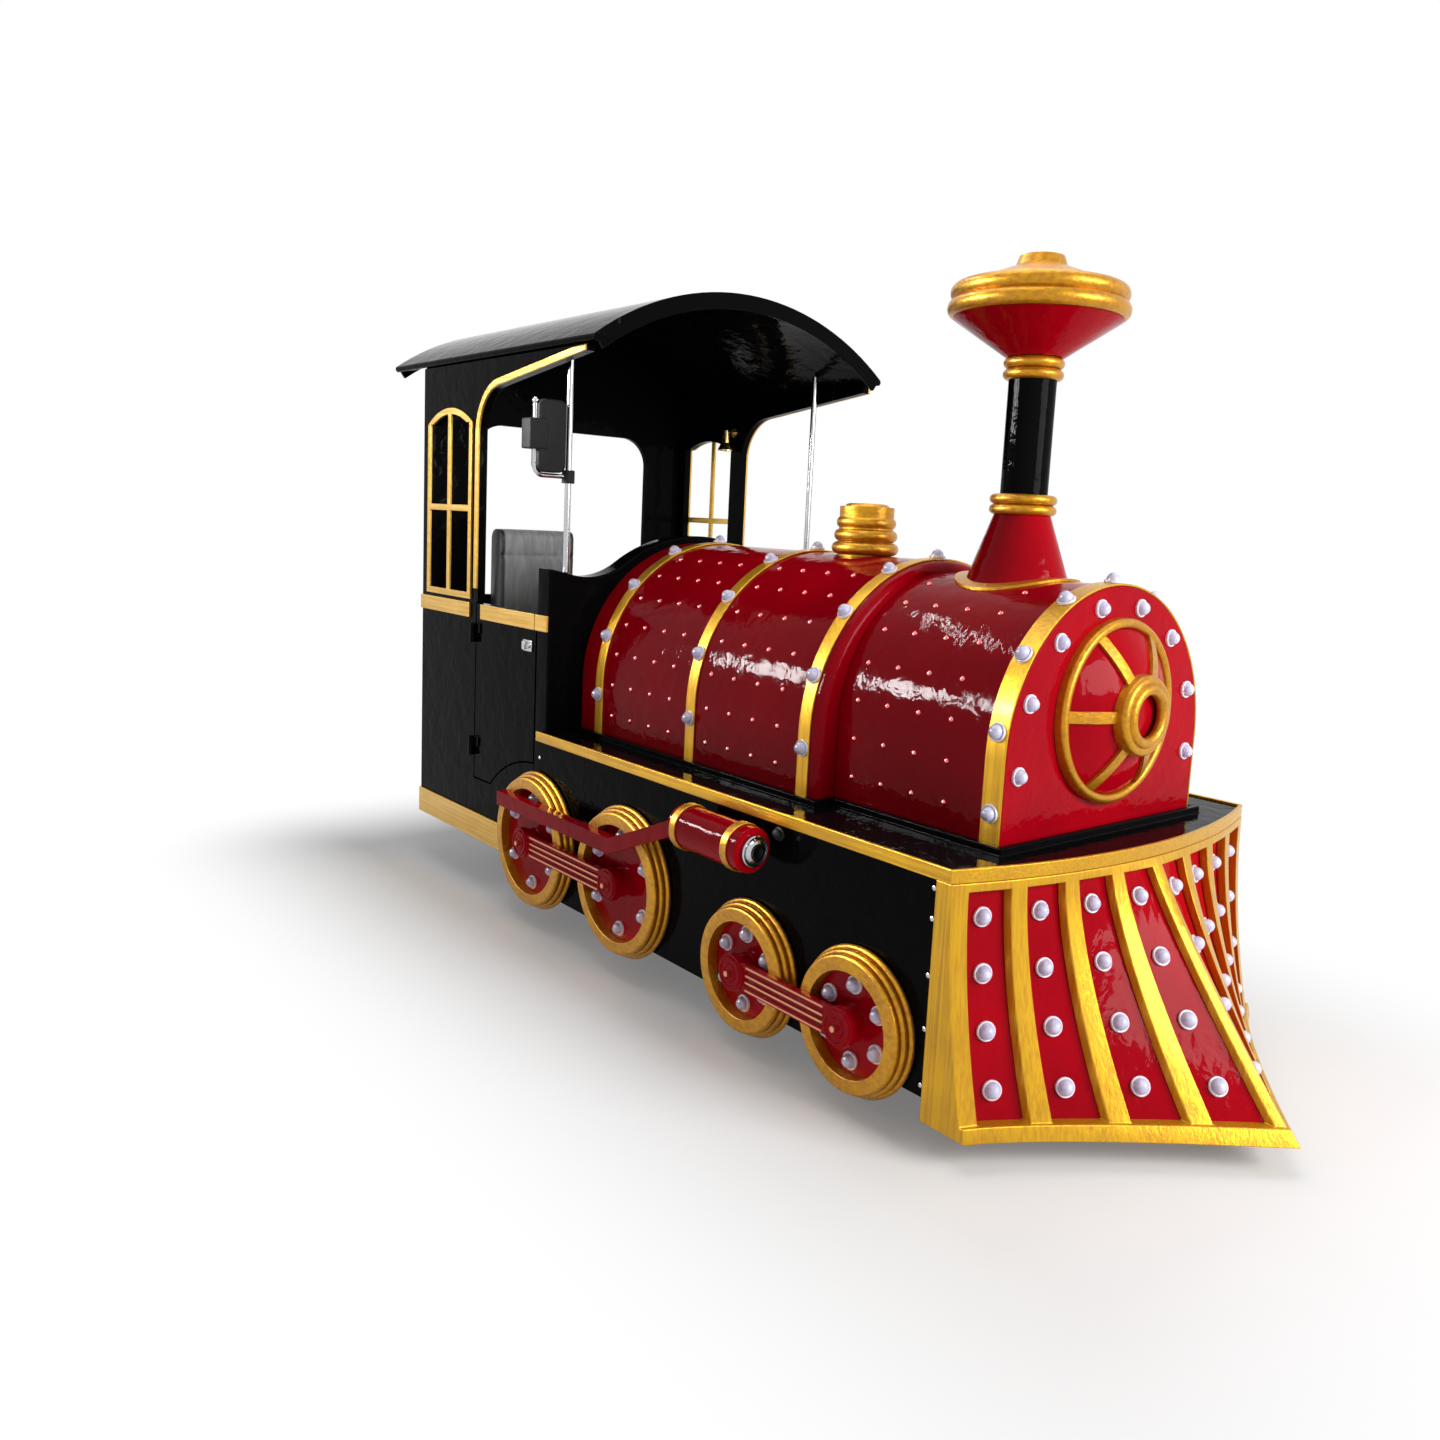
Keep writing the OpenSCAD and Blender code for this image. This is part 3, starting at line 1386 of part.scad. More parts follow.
module seat_cushion() {
    seat_pad([seat_rear_x + cushion_set, seat_box_z + seat],
        [seat_rear_x + seat_l + cushion_over, cushion_top_z], cushion_round);
}

module seat_back() {
    rear_x = seat_rear_x - backrest_set;
    seat_pad([rear_x, cushion_top_z + seat],
        [rear_x + backrest_t, cushion_top_z + backrest_h], backrest_round);
}

// Steering: a column leaning back from the bulkhead, its wheel on a stub at the top
column_d = 44;
column_x = bulkhead_rear_x;
column_up = 600;
column_z = floor_z + column_up;
column_l = 230;
column_plate_t = 30;
column_plate_w = 140;
wheel_shaft_d = 20;
wheel_rim_r = 13;
wheel_hub_r = 34;
wheel_hub_h = 40;
wheel_spokes = 3;
wheel_spoke_w = 28;
wheel_spoke_t = 10;

module at_column() translate([column_x, -seat_y, column_z]) rotate([0, -column_tilt, 0]) children();

module steering_column() {
    color(BLACK) {
        difference() {
            at_column() translate([0, 0, -column_d]) cylinder(h = column_l + column_d, d = column_d);
            box([column_x, -body_half, 0], [column_x + column_l, body_half, roof_top_z]);
        }
        at_column() translate([0, 0, column_d])
            cylinder(h = column_l + wheel_hub_h - column_d, d = wheel_shaft_d);
        translate([column_x - column_plate_t / 2, -seat_y, column_z])
            cube([column_plate_t, column_plate_w, column_plate_w], center = true);
    }
}

module steering_wheel() {
    color(BLACK) at_column() translate([0, 0, column_l + seat]) difference() {
        union() {
            cylinder(h = wheel_hub_h, r = wheel_hub_r);
            translate([0, 0, wheel_hub_h / 2]) {
                rotate_extrude() translate([wheel_r - wheel_rim_r, 0]) circle(wheel_rim_r);
                for (k = [0 : wheel_spokes - 1]) rotate(180 + k * 360 / wheel_spokes)
                    translate([0, -wheel_spoke_w / 2, -wheel_spoke_t / 2])
                        cube([wheel_r - wheel_rim_r, wheel_spoke_w, wheel_spoke_t]);
            }
        }
        translate([0, 0, -eps]) cylinder(h = wheel_hub_h + 2 * eps, r = wheel_shaft_d / 2 + run);
    }
}

// Dummy driving wheels: stepped gold rims, red discs with lamps, side rods and a cylinder on each side
dummy_wheels = [[big_1_x, big_z, big_r], [big_2_x, big_z, big_r],
    [small_1_x, small_z, small_r], [small_2_x, small_z, small_r]];
disc_depth = 22;
boss_r = 45;
bead_steps = 3;
rod_y = rim_depth + seat;

module at_wheel(w, side) translate([w[0], side * body_half, w[1]]) outward(side) children();

module dummy_rims() {
    bead = rim_depth / bead_steps / 2;
    color(GOLD) for (side = [-1, 1], w = dummy_wheels) at_wheel(w, side) rotate_extrude($fn = 96) {
        for (k = [0 : bead_steps - 1]) {
            edge = w[2] - k * bead;
            translate([w[2] - rim_w, 2 * k * bead]) square([edge - bead - w[2] + rim_w, 2 * bead]);
            translate([edge - bead, (2 * k + 1) * bead]) circle(bead);
        }
    }
}

module dummy_discs() {
    color(RED) for (side = [-1, 1], w = dummy_wheels) at_wheel(w, side) {
        cylinder(h = disc_depth, r = w[2] - rim_w - seat);
        cylinder(h = rod_y, r = boss_r);
    }
}

lamps_per_wheel = 6;
lamp_margin = 12;

module dummy_lamps() {
    for (side = [-1, 1], w = dummy_wheels, k = [0 : lamps_per_wheel - 1])
        at_wheel(w, side) rotate((k + 0.5) * 360 / lamps_per_wheel)
            translate([w[2] - rim_w - lamp_margin - lamp_d / 2, 0, disc_depth]) lamp();
}

// A rod between two hubs with round ends and three grooves
groove_w = 8;
groove_t = 5;
rod_end_r = 52;
rod_step = 6;
rod_web_t = rod_t - rod_step;
groove_end = 6;

module side_rod(a, b, side) {
    length = b[0] - a[0];
    at_wheel(a, side) translate([0, 0, rod_y]) difference() {
        union() {
            translate([0, -rod_h / 2, 0]) cube([length, rod_h, rod_web_t]);
            for (x = [0, length]) translate([x, 0, 0]) cylinder(h = rod_t, r = rod_end_r);
        }
        for (k = [-1 : 1])
            translate([rod_end_r + groove_end, k * rod_h / 4 - groove_w / 2, rod_web_t - groove_t])
                cube([length - 2 * (rod_end_r + groove_end), groove_w, groove_t + eps]);
    }
}

bar_tail = 150;
bar_lead = 20;
bar_up = 132;
bar_h = 50;
bar_t = 40;
bar_rear_x = big_1_x - bar_tail;
bar_knee_x = big_2_x + bar_lead;
bar_z = big_z + bar_up;
cylinder_drop = 4;
cylinder_gap = 22;
cylinder_tail = 5;
cylinder_x = big_2_x + cylinder_set;
cylinder_rear_x = cylinder_x - cylinder_tail;
cylinder_z = lip_z - cylinder_r - cylinder_drop;
cylinder_y = body_half + cylinder_r + cylinder_gap;

module slide_bar(side) {
    side_plate(side, body_half + rim_depth + bar_t, bar_t) polygon([
        [bar_rear_x, bar_z - bar_h / 2], [bar_knee_x, bar_z - bar_h / 2],
        [cylinder_rear_x, cylinder_z - bar_h / 2], [cylinder_rear_x, cylinder_z + bar_h / 2],
        [bar_knee_x, bar_z + bar_h / 2], [bar_rear_x, bar_z + bar_h / 2]]);
}

module side_rods() {
    color(RED) for (side = [-1, 1]) {
        side_rod(dummy_wheels[0], dummy_wheels[1], side);
        side_rod(dummy_wheels[2], dummy_wheels[3], side);
        slide_bar(side);
    }
}

cylinder_band_t = 5;
cylinder_band_w = 26;
cylinder_band_rear = 12;
cylinder_band_front = 32;
bracket_l = 150;
rear_cylinder_band_x = cylinder_x + cylinder_band_rear;
front_cylinder_band_x = cylinder_x + cylinder_l - cylinder_band_front - cylinder_band_w;

module cylinders() {
    color(RED) for (side = [-1, 1]) {
        translate([cylinder_rear_x, side * cylinder_y, cylinder_z]) forward()
            cylinder(h = cylinder_l + cylinder_tail, r = cylinder_r);
        translate([cylinder_x + cylinder_l / 2, side * (body_half + cylinder_y) / 2, cylinder_z])
            cube([bracket_l, cylinder_y - body_half, cylinder_r], center = true);
    }
}

module cylinder_bands() {
    color(GOLD) for (side = [-1, 1], x = [rear_cylinder_band_x, front_cylinder_band_x])
        translate([x, side * cylinder_y, cylinder_z]) forward() difference() {
            cylinder(h = cylinder_band_w, r = cylinder_r + cylinder_band_t);
            translate([0, 0, -eps]) cylinder(h = cylinder_band_w + 2 * eps, r = cylinder_r + seat);
        }
}

cylinder_lamp_r = 43;
cylinder_lamp_t = 14;
lens_r = 30;
lens_set = 6;

module cylinder_lamps() {
    color(CHROME) for (side = [-1, 1])
        translate([cylinder_x + cylinder_l, side * cylinder_y, cylinder_z]) forward() rotate_extrude() {
            square([cylinder_lamp_r, cylinder_lamp_t]);
            intersection() {
                translate([0, lens_set]) circle(lens_r);
                square([cylinder_lamp_r, cylinder_lamp_r]);
            }
        }
}

module tyre_front_left() tyre(front_axle_x, 1);
module tyre_front_right() tyre(front_axle_x, -1);
module tyre_rear_left() tyre(rear_axle_x, 1);
module tyre_rear_right() tyre(rear_axle_x, -1);
module rim_front_left() rim(front_axle_x, 1);
module rim_front_right() rim(front_axle_x, -1);
module rim_rear_left() rim(rear_axle_x, 1);
module rim_rear_right() rim(rear_axle_x, -1);

chassis_frame();
front_axle();
rear_axle();
drive_motor();
battery_pack();
tow_hitch();
knuckle(1);  // knuckle_left
knuckle(-1);  // knuckle_right
tie_rod();
tyre_front_left();
tyre_front_right();
tyre_rear_left();
tyre_rear_right();
rim_front_left();
rim_front_right();
rim_rear_left();
rim_rear_right();
deck();
deck_lip();
skirts();
pilot_panel();
pilot_frame();
pilot_lamps();
smokebox();
boiler_barrel();
boiler_bands();
boiler_lamps();
smokebox_door();
smokebox_door_trim();
chimney_shell();
chimney_tube();
chimney_trim();
steam_dome();
bulkhead();
cab_side(1);  // cab_side_left
cab_side(-1);  // cab_side_right
cab_rear();
cab_roof();
cab_trim();
cab_floor();
door(1);  // door_left
door(-1);  // door_right
door_rail(1);  // door_rail_left
door_rail(-1);  // door_rail_right
roof_posts();
mirror();
bell();
seat_base();
seat_cushion();
seat_back();
steering_column();
steering_wheel();
dummy_rims();
dummy_discs();
dummy_lamps();
side_rods();
cylinders();
cylinder_bands();
cylinder_lamps();
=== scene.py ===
"""Trackless fairground train locomotive: finished pieces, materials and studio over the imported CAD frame."""

import json
import math

import bmesh
import bpy
from bpy.props import FloatProperty, FloatVectorProperty, IntProperty, PointerProperty
from mathutils import Matrix, Vector
from mathutils.bvhtree import BVHTree

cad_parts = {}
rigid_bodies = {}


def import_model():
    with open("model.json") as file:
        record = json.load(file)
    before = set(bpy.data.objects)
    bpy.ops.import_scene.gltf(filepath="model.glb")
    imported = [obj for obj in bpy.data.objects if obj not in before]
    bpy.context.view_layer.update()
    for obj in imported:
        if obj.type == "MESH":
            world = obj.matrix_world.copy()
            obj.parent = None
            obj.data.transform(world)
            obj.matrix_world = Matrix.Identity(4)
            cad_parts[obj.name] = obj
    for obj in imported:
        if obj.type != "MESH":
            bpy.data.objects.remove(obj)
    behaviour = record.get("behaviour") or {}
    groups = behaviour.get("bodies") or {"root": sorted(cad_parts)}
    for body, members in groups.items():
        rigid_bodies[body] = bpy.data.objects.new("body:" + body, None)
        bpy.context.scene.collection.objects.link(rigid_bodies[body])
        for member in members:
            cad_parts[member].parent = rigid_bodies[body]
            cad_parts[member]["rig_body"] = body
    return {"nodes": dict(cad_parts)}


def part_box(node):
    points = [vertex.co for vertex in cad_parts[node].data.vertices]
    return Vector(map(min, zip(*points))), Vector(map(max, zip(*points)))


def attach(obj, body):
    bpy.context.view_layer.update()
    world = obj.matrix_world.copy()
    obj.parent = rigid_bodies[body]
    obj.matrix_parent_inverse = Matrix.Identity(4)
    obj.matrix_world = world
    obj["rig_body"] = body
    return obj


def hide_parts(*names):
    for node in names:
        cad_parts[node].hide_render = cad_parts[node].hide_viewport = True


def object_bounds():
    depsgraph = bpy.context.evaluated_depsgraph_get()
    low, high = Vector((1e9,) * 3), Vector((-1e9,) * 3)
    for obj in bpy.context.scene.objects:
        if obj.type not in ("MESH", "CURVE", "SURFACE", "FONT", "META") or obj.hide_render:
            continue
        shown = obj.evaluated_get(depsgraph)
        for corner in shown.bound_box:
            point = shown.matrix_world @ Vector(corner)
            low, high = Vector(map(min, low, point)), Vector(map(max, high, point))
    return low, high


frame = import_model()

CAD_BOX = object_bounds()

bl_info = {
    "name": "Fairground Train Locomotive",
    "version": (1, 0, 0),
    "blender": (4, 5, 0),
    "location": "View3D > Sidebar > Locomotive",
    "description": "Finishes the locomotive's CAD frame with details, materials and a studio",
    "category": "Object",
}

SIDES = (-1, 1)
WHITE = (1.0, 1.0, 1.0, 1.0)


def colour(name, description, default):
    return FloatVectorProperty(name=name, description=description, default=default, size=4, min=0.0, max=1.0,
                               subtype="COLOR")


def length(name, description, default):
    return FloatProperty(name=name, description=description, default=default, min=0.0, unit="LENGTH",
                         subtype="DISTANCE")


def power(name, description, default):
    return FloatProperty(name=name, description=description, default=default, min=0.0, unit="POWER")


def count(name, description, default, least):
    return IntProperty(name=name, description=description, default=default, min=least)


class LocomotivePaint(bpy.types.PropertyGroup):
    red: colour("Red", "Gelcoat of the boiler, pilot and rods", (0.42, 0.0008, 0.0075, 1.0))
    red_deep: colour("Deep red", "Thicker places of the red gelcoat", (0.34, 0.0005, 0.0070, 1.0))
    black: colour("Black", "Gelcoat of the cab, deck and skirts", (0.0035, 0.0035, 0.0042, 1.0))
    gold: colour("Gold", "Brushed gold paint", (0.68, 0.37, 0.012, 1.0))
    gold_dark: colour("Dark gold", "Thin places of the gold paint", (0.54, 0.26, 0.007, 1.0))
    amber: colour("Amber gold", "Gold paint of the turned pieces", (0.60, 0.285, 0.008, 1.0))
    amber_dark: colour("Dark amber", "Thin places of the amber gold", (0.44, 0.18, 0.005, 1.0))
    tan: colour("Tan gold", "Gold paint of the belt and the plinth", (0.72, 0.44, 0.105, 1.0))
    bulb: colour("Bulb", "Frosted lamp domes", (0.60, 0.59, 0.84, 1.0))
    collar: colour("Collar", "Moulded lamp collars", (0.90, 0.85, 0.94, 1.0))
    # Copper of the rods' bolts, and of the lines on the rods' ribs, which are painted highlights standing in
    # for the light along the ribs' edges.
    copper: colour("Copper", "Lining of the rods", (0.66, 0.30, 0.16, 1.0))
    vinyl: colour("Seat cover", "Grey seat cover", (0.44, 0.445, 0.445, 1.0))
    vinyl_dark: colour("Seat sides", "Dark side panels of the seat", (0.022, 0.020, 0.024, 1.0))
    rubber: colour("Rubber", "Tyres and mats", (0.017, 0.017, 0.018, 1.0))
    silver: colour("Silver", "Painted road wheel rims", (0.50, 0.51, 0.53, 1.0))
    steel: colour("Steel", "Bare and plated steel", (0.56, 0.56, 0.57, 1.0))
    dirt: colour("Dust", "Road dust on the chassis", (0.16, 0.13, 0.10, 1.0))


class LocomotiveDetail(bpy.types.PropertyGroup):
    stud_radius: length("Stud radius", "Radius of a boiler stud", 0.0080)
    stud_pitch: length("Stud pitch", "Distance between two studs of a row", 0.111)
    stud_start: length("Stud start", "Distance from a band to the first stud", 0.078)
    row_pitch: length("Row pitch", "Distance between two rows of studs", 0.106)
    row_start: length("Row start", "Height of the lowest row above the deck", 0.086)
    stud_columns: count("Stud columns", "Studs in a row of one panel", 4, 1)
    lamp_steps: count("Lamp steps", "Facets round one lamp", 28, 8)
    screw_radius: length("Screw radius", "Radius of a panel screw's head", 0.0065)
    # Width of the copper lines that are painted highlights along the rods' ribs.
    line_width: length("Line width", "Width of the copper lining on a rod", 0.0045)
    tread_depth: length("Tread depth", "Depth of the tyre's grooves", 0.006)
    tread_blocks: count("Tread blocks", "Blocks round one tyre", 44, 12)
    nuts: count("Wheel nuts", "Nuts on one road wheel", 5, 3)


class LocomotiveSeat(bpy.types.PropertyGroup):
    voxel: length("Voxel", "Grain of the remeshed upholstery", 0.006)
    inset: length("Inset", "How much smaller the filling starts", 0.007)
    travel: length("Travel", "Most that the cover may swell", 0.012)
    channel: length("Channel", "Depth of the sewn channels", 0.010)
    pressure: FloatProperty(name="Pressure", description="Filling pressure of the cover", default=4.0,
                            min=0.0)
    pleats: count("Pleats", "Pleats across the seat", 5, 1)


class LocomotiveStage(bpy.types.PropertyGroup):
    floor: colour("Floor", "Studio floor", (0.86, 0.86, 0.865, 1.0))
    floor_radius: length("Floor radius", "Radius of the studio floor", 40.0)
    fill: FloatProperty(name="Fill", description="Strength of the even light", default=0.20, min=0.0)
    key: power("Key", "Power of the front softbox", 215.0)
    side: power("Side", "Power of a side softbox", 115.0)
    top: power("Top", "Power of the overhead softbox", 105.0)
    strip: power("Strip", "Power of the strip light", 20.0)
    lens: FloatProperty(name="Lens", description="Focal length for a 36 mm sensor", default=29.277, min=1.0,
                        subtype="DISTANCE_CAMERA")
    eye: FloatVectorProperty(name="Eye", description="Where the camera stands",
                             default=(2.97072, -2.64154, 1.44465), unit="LENGTH", subtype="TRANSLATION")
    yaw: FloatProperty(name="Yaw", description="Heading of the view from +X", default=2.4365, subtype="ANGLE")
    pitch: FloatProperty(name="Pitch", description="Rise of the view", default=-0.1389, subtype="ANGLE")
    roll: FloatProperty(name="Roll", description="Roll of the camera", default=0.0505, subtype="ANGLE")
    shift: FloatVectorProperty(name="Shift", description="Shift of the lens", default=(-0.0334, -0.0212),
                               size=2)


def maths(operation, swapped=False):
    """A method that puts one Math node on its values."""
    def method(self, *others):
        values = (*others, self) if swapped else (self, *others)
        return self.net.make("ShaderNodeMath", {"operation": operation}, dict(enumerate(values)), "Value")
    return method


class Signal:
    """One output of a shader node, which takes part in sums."""

    def __init__(self, net, socket):
        self.net = net
        self.socket = socket

    __add__, __radd__ = maths("ADD"), maths("ADD", True)
    __sub__, __rsub__ = maths("SUBTRACT"), maths("SUBTRACT", True)
    __mul__, __rmul__ = maths("MULTIPLY"), maths("MULTIPLY", True)
    __truediv__, __rtruediv__ = maths("DIVIDE"), maths("DIVIDE", True)
    __pow__, __rpow__ = maths("POWER"), maths("POWER", True)
    __abs__ = maths("ABSOLUTE")
    most, least = maths("MAXIMUM"), maths("MINIMUM")

    def rise(self, low, high):
        """Goes smoothly from 0 at low to 1 at high."""
        return self.net.make("ShaderNodeMapRange", {"interpolation_type": "SMOOTHSTEP"},
                             {"Value": self, "From Min": low, "From Max": high}, "Result")


class Net:
    """The node tree of one material, or of the world."""

    def __init__(self, name, owners=None):
        self.owner = (bpy.data.materials if owners is None else owners).new(name)
        self.owner.use_nodes = True
        self.tree = self.owner.node_tree
        self.shader = self.tree.nodes.get("Principled BSDF") or self.tree.nodes["Background"]

    def make(self, kind, settings, values, out):
        node = self.tree.nodes.new(kind)
        for key, value in settings.items():
            setattr(node, key, value)
        for key, value in values.items():
            self.feed(node.inputs[key], value)
        return Signal(self, node.outputs[out])

    def feed(self, socket, value):
        if isinstance(value, Signal):
            self.tree.links.new(value.socket, socket)
        else:
            socket.default_value = value

    def surface(self, **values):
        """Sets the shader's own sockets; an underscore stands for a space."""
        for key, value in values.items():
            self.feed(self.shader.inputs[key.replace("_", " ")], value)
        return self.owner

    def place(self, scale=(1.0, 1.0, 1.0), centre=(0.0, 0.0, 0.0)):
        """Object coordinates about a centre, stretched by a scale."""
        here = self.make("ShaderNodeTexCoord", {}, {}, "Object")
        shift = tuple(-c * s for c, s in zip(centre, scale))
        return self.make("ShaderNodeMapping", {"vector_type": "POINT"},
                         {"Vector": here, "Location": shift, "Scale": scale}, "Vector")

    def axes(self, vector):
        parts = self.make("ShaderNodeSeparateXYZ", {}, {"Vector": vector}, "X")
        return [Signal(self, socket) for socket in parts.socket.node.outputs]

    def noise(self, vector, scale, detail=3.0, distortion=0.0):
        return self.make("ShaderNodeTexNoise", {"noise_dimensions": "3D"},
                         {"Vector": vector, "Scale": scale, "Detail": detail, "Distortion": distortion}, 0)

    def cells(self, vector, scale, feature="F1"):
        return self.make("ShaderNodeTexVoronoi", {"feature": feature}, {"Vector": vector, "Scale": scale},
                         "Distance")

    def blend(self, factor, first, second):
        return self.make("ShaderNodeMix", {"data_type": "RGBA"}, {0: factor, 6: first, 7: second}, 2)

    def bump(self, height, distance, strength=1.0):
        return self.make("ShaderNodeBump", {}, {"Strength": strength, "Distance": distance, "Height": height},
                         "Normal")

    def seen(self):
        """One for rays that show or mirror a surface, nothing for the others."""
        path = self.make("ShaderNodeLightPath", {}, {}, "Is Camera Ray")
        rays = path.socket.node.outputs
        return path.most(Signal(self, rays["Is Glossy Ray"])).most(Signal(self, rays["Is Transmission Ray"]))


def tint(tone, factor, lift=0.0):
    """A colour made lighter or darker."""
    return tuple(min(1.0, factor * c + lift) for c in tone[:3]) + (1.0,)


def gelcoat(name, main, deep, ripple, gloss):
    """Glossy moulded gelcoat: slow cloudiness, faint swirl marks and a slightly wavy surface."""
    net = Net(name)
    here = net.place()
    cloud = net.noise(here, 2.4, 4.0)
    swirl = net.noise(net.place((14.0, 14.0, 3.0)), 4.0, 6.0, 1.5)
    wavy = net.noise(here, 15.0, 3.0, 0.4)
    peel = net.noise(here, 420.0, 2.0)
    return net.surface(
        Base_Color=net.blend(cloud.rise(0.35, 0.68), deep, main),
        Roughness=0.045 + 0.10 * swirl.rise(0.45, 0.80),
        Specular_IOR_Level=gloss,
        Normal=net.bump(wavy + 0.006 * peel, ripple),
    )


def brushed_gold(name, main, dark, grain):
    """Gold paint laid on with a brush: streaks along the grain, thin at the streaks' edges."""
    net = Net(name)
    along = net.place(grain)
    streak = net.noise(along, 1.0, 5.0, 0.4)
    fine = net.noise(along, 3.7, 3.0)
    patch = net.noise(net.place(), 9.0, 3.0)
    thin = (0.7 * streak + 0.3 * patch).rise(0.32, 0.64)
    flake = net.cells(net.place(), 1400.0)
    return net.surface(
        Base_Color=net.blend(thin, dark, main),
        Metallic=0.50 + 0.25 * thin,
        Roughness=0.24 + 0.22 * fine,
        Coat_Weight=0.20,
        Coat_Roughness=0.12,
        Coat_IOR=1.3,
        Normal=net.bump(streak + 0.35 * fine + 0.04 * flake, 0.0012),
    )


def frosted_bulb(paint):
    """Frosted acrylic dome with a fine grain."""
    net = Net("frosted_bulb")
    here = net.place()
    haze = net.noise(here, 60.0, 3.0)
    grain = net.noise(here, 900.0, 2.0)
    pale = tuple(0.5 * (a + b) for a, b in zip(paint.bulb, paint.collar))
    return net.surface(
        Base_Color=net.blend(haze.rise(0.35, 0.7), paint.bulb, pale),
        Roughness=0.20 + 0.15 * haze,
        Subsurface_Weight=0.25,
        Subsurface_Radius=(0.012, 0.012, 0.014),
        Subsurface_Scale=1.0,
        Coat_Weight=0.4,
        Coat_Roughness=0.08,
        Normal=net.bump(grain, 0.0004),
    )


def moulded_collar(paint):
    """Pale glossy plastic of the lamp collars, with grimy patches at random."""
    net = Net("lamp_collar")
    here = net.place()
    grime = net.noise(here, 130.0, 4.0)
    dull = tint(paint.collar, 0.7)
    return net.surface(
        Base_Color=net.blend(grime.rise(0.55, 0.8), paint.collar, dull),
        Roughness=0.22 + 0.2 * grime,
        Coat_Weight=0.3,
        Normal=net.bump(grime, 0.0003),
    )


def plated(name, tone, rough, scratch):
    """Polished or brushed metal with hairline scratches and a few smears."""
    net = Net(name)
    hair = net.noise(net.place((40.0, 40.0, 900.0)), 1.0, 3.0)
    smear = net.noise(net.place(), 11.0, 4.0, 0.8)
    dull = tint(tone, 0.84)
    return net.surface(
        Base_Color=net.blend(smear.rise(0.5, 0.8), tone, dull),
        Metallic=1.0,
        Roughness=rough + 0.10 * smear.rise(0.45, 0.85) + 0.05 * hair,
        Normal=net.bump(hair, scratch),
    )


def grained_plastic(name, tone, rough, grain):
    """Moulded plastic or rubber with a fine leather grain and faint wear."""
    net = Net(name)
    here = net.place()
    pebble = net.cells(here, grain, "SMOOTH_F1")
    wear = net.noise(here, 14.0, 5.0)
    worn = tint(tone, 1.9, 0.004)
    return net.surface(
        Base_Color=net.blend(wear.rise(0.50, 0.78), tone, worn),
        Roughness=rough + 0.18 * wear,
        Specular_IOR_Level=0.22,
        Normal=net.bump(pebble, 0.0007),
    )


def road_paint(name, tone, dirt, top):
    """Chassis paint with road dust that thickens towards the ground."""
    net = Net(name)
    here = net.place()
    low = 1.0 - net.axes(here)[2].rise(0.05, top)
    mottle = net.noise(here, 17.0, 6.0)
    dust = (low * mottle.rise(0.30, 0.75)).least(0.85)
    chip = net.cells(here, 55.0).rise(0.02, 0.16)
    return net.surface(
        Base_Color=net.blend(dust, tone, dirt),
        Metallic=0.10 * (1.0 - dust),
        Roughness=0.38 + 0.45 * dust,
        Normal=net.bump(0.4 * mottle + 0.6 * chip, 0.0006),
    )


def tyre_rubber(paint):
    """Rubber with patches of dust and a dull bloom."""
    net = Net("tyre_rubber")
    here = net.place()
    bloom = net.noise(here, 9.0, 5.0)
    grit = net.noise(here, 320.0, 3.0)
    return net.surface(
        Base_Color=net.blend(bloom.rise(0.46, 0.86) * 0.5, paint.rubber, paint.dirt),
        Roughness=0.72 + 0.2 * bloom,
        Specular_IOR_Level=0.3,
        Normal=net.bump(grit, 0.0006),
    )


def seat_vinyl(paint):
    """Grained seat cover, with dark side panels."""
    low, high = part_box("seat_back")
    middle = 0.5 * (low.y + high.y)
    half = 0.5 * (high.y - low.y)
    net = Net("seat_vinyl")
    here = net.place()
    across = abs(net.axes(net.place(centre=(0.0, middle, 0.0)))[1])
    side = across.rise(half - 0.030, half - 0.022)
    grain = net.cells(here, 620.0, "SMOOTH_F1")
    crease = net.noise(net.place((24.0, 24.0, 6.0)), 1.0, 6.0, 1.2)
    worn = tint(paint.vinyl, 1.35)
    cover = net.blend(crease.rise(0.42, 0.70), paint.vinyl, worn)
    return net.surface(
        Base_Color=net.blend(side, cover, paint.vinyl_dark),
        Roughness=0.40 + 0.22 * crease,
        Coat_Weight=0.15,
        Normal=net.bump(0.5 * grain + crease, 0.0016),
    )


def mirror_glass():
    """Silvered glass with a little dust."""
    net = Net("mirror_glass")
    dust = net.noise(net.place(), 40.0, 6.0)
    return net.surface(
        Base_Color=net.blend(dust.rise(0.55, 0.9), (0.82, 0.84, 0.86, 1.0), (0.55, 0.56, 0.57, 1.0)),
        Metallic=1.0,
        Roughness=0.02 + 0.10 * dust.rise(0.5, 0.9),
    )


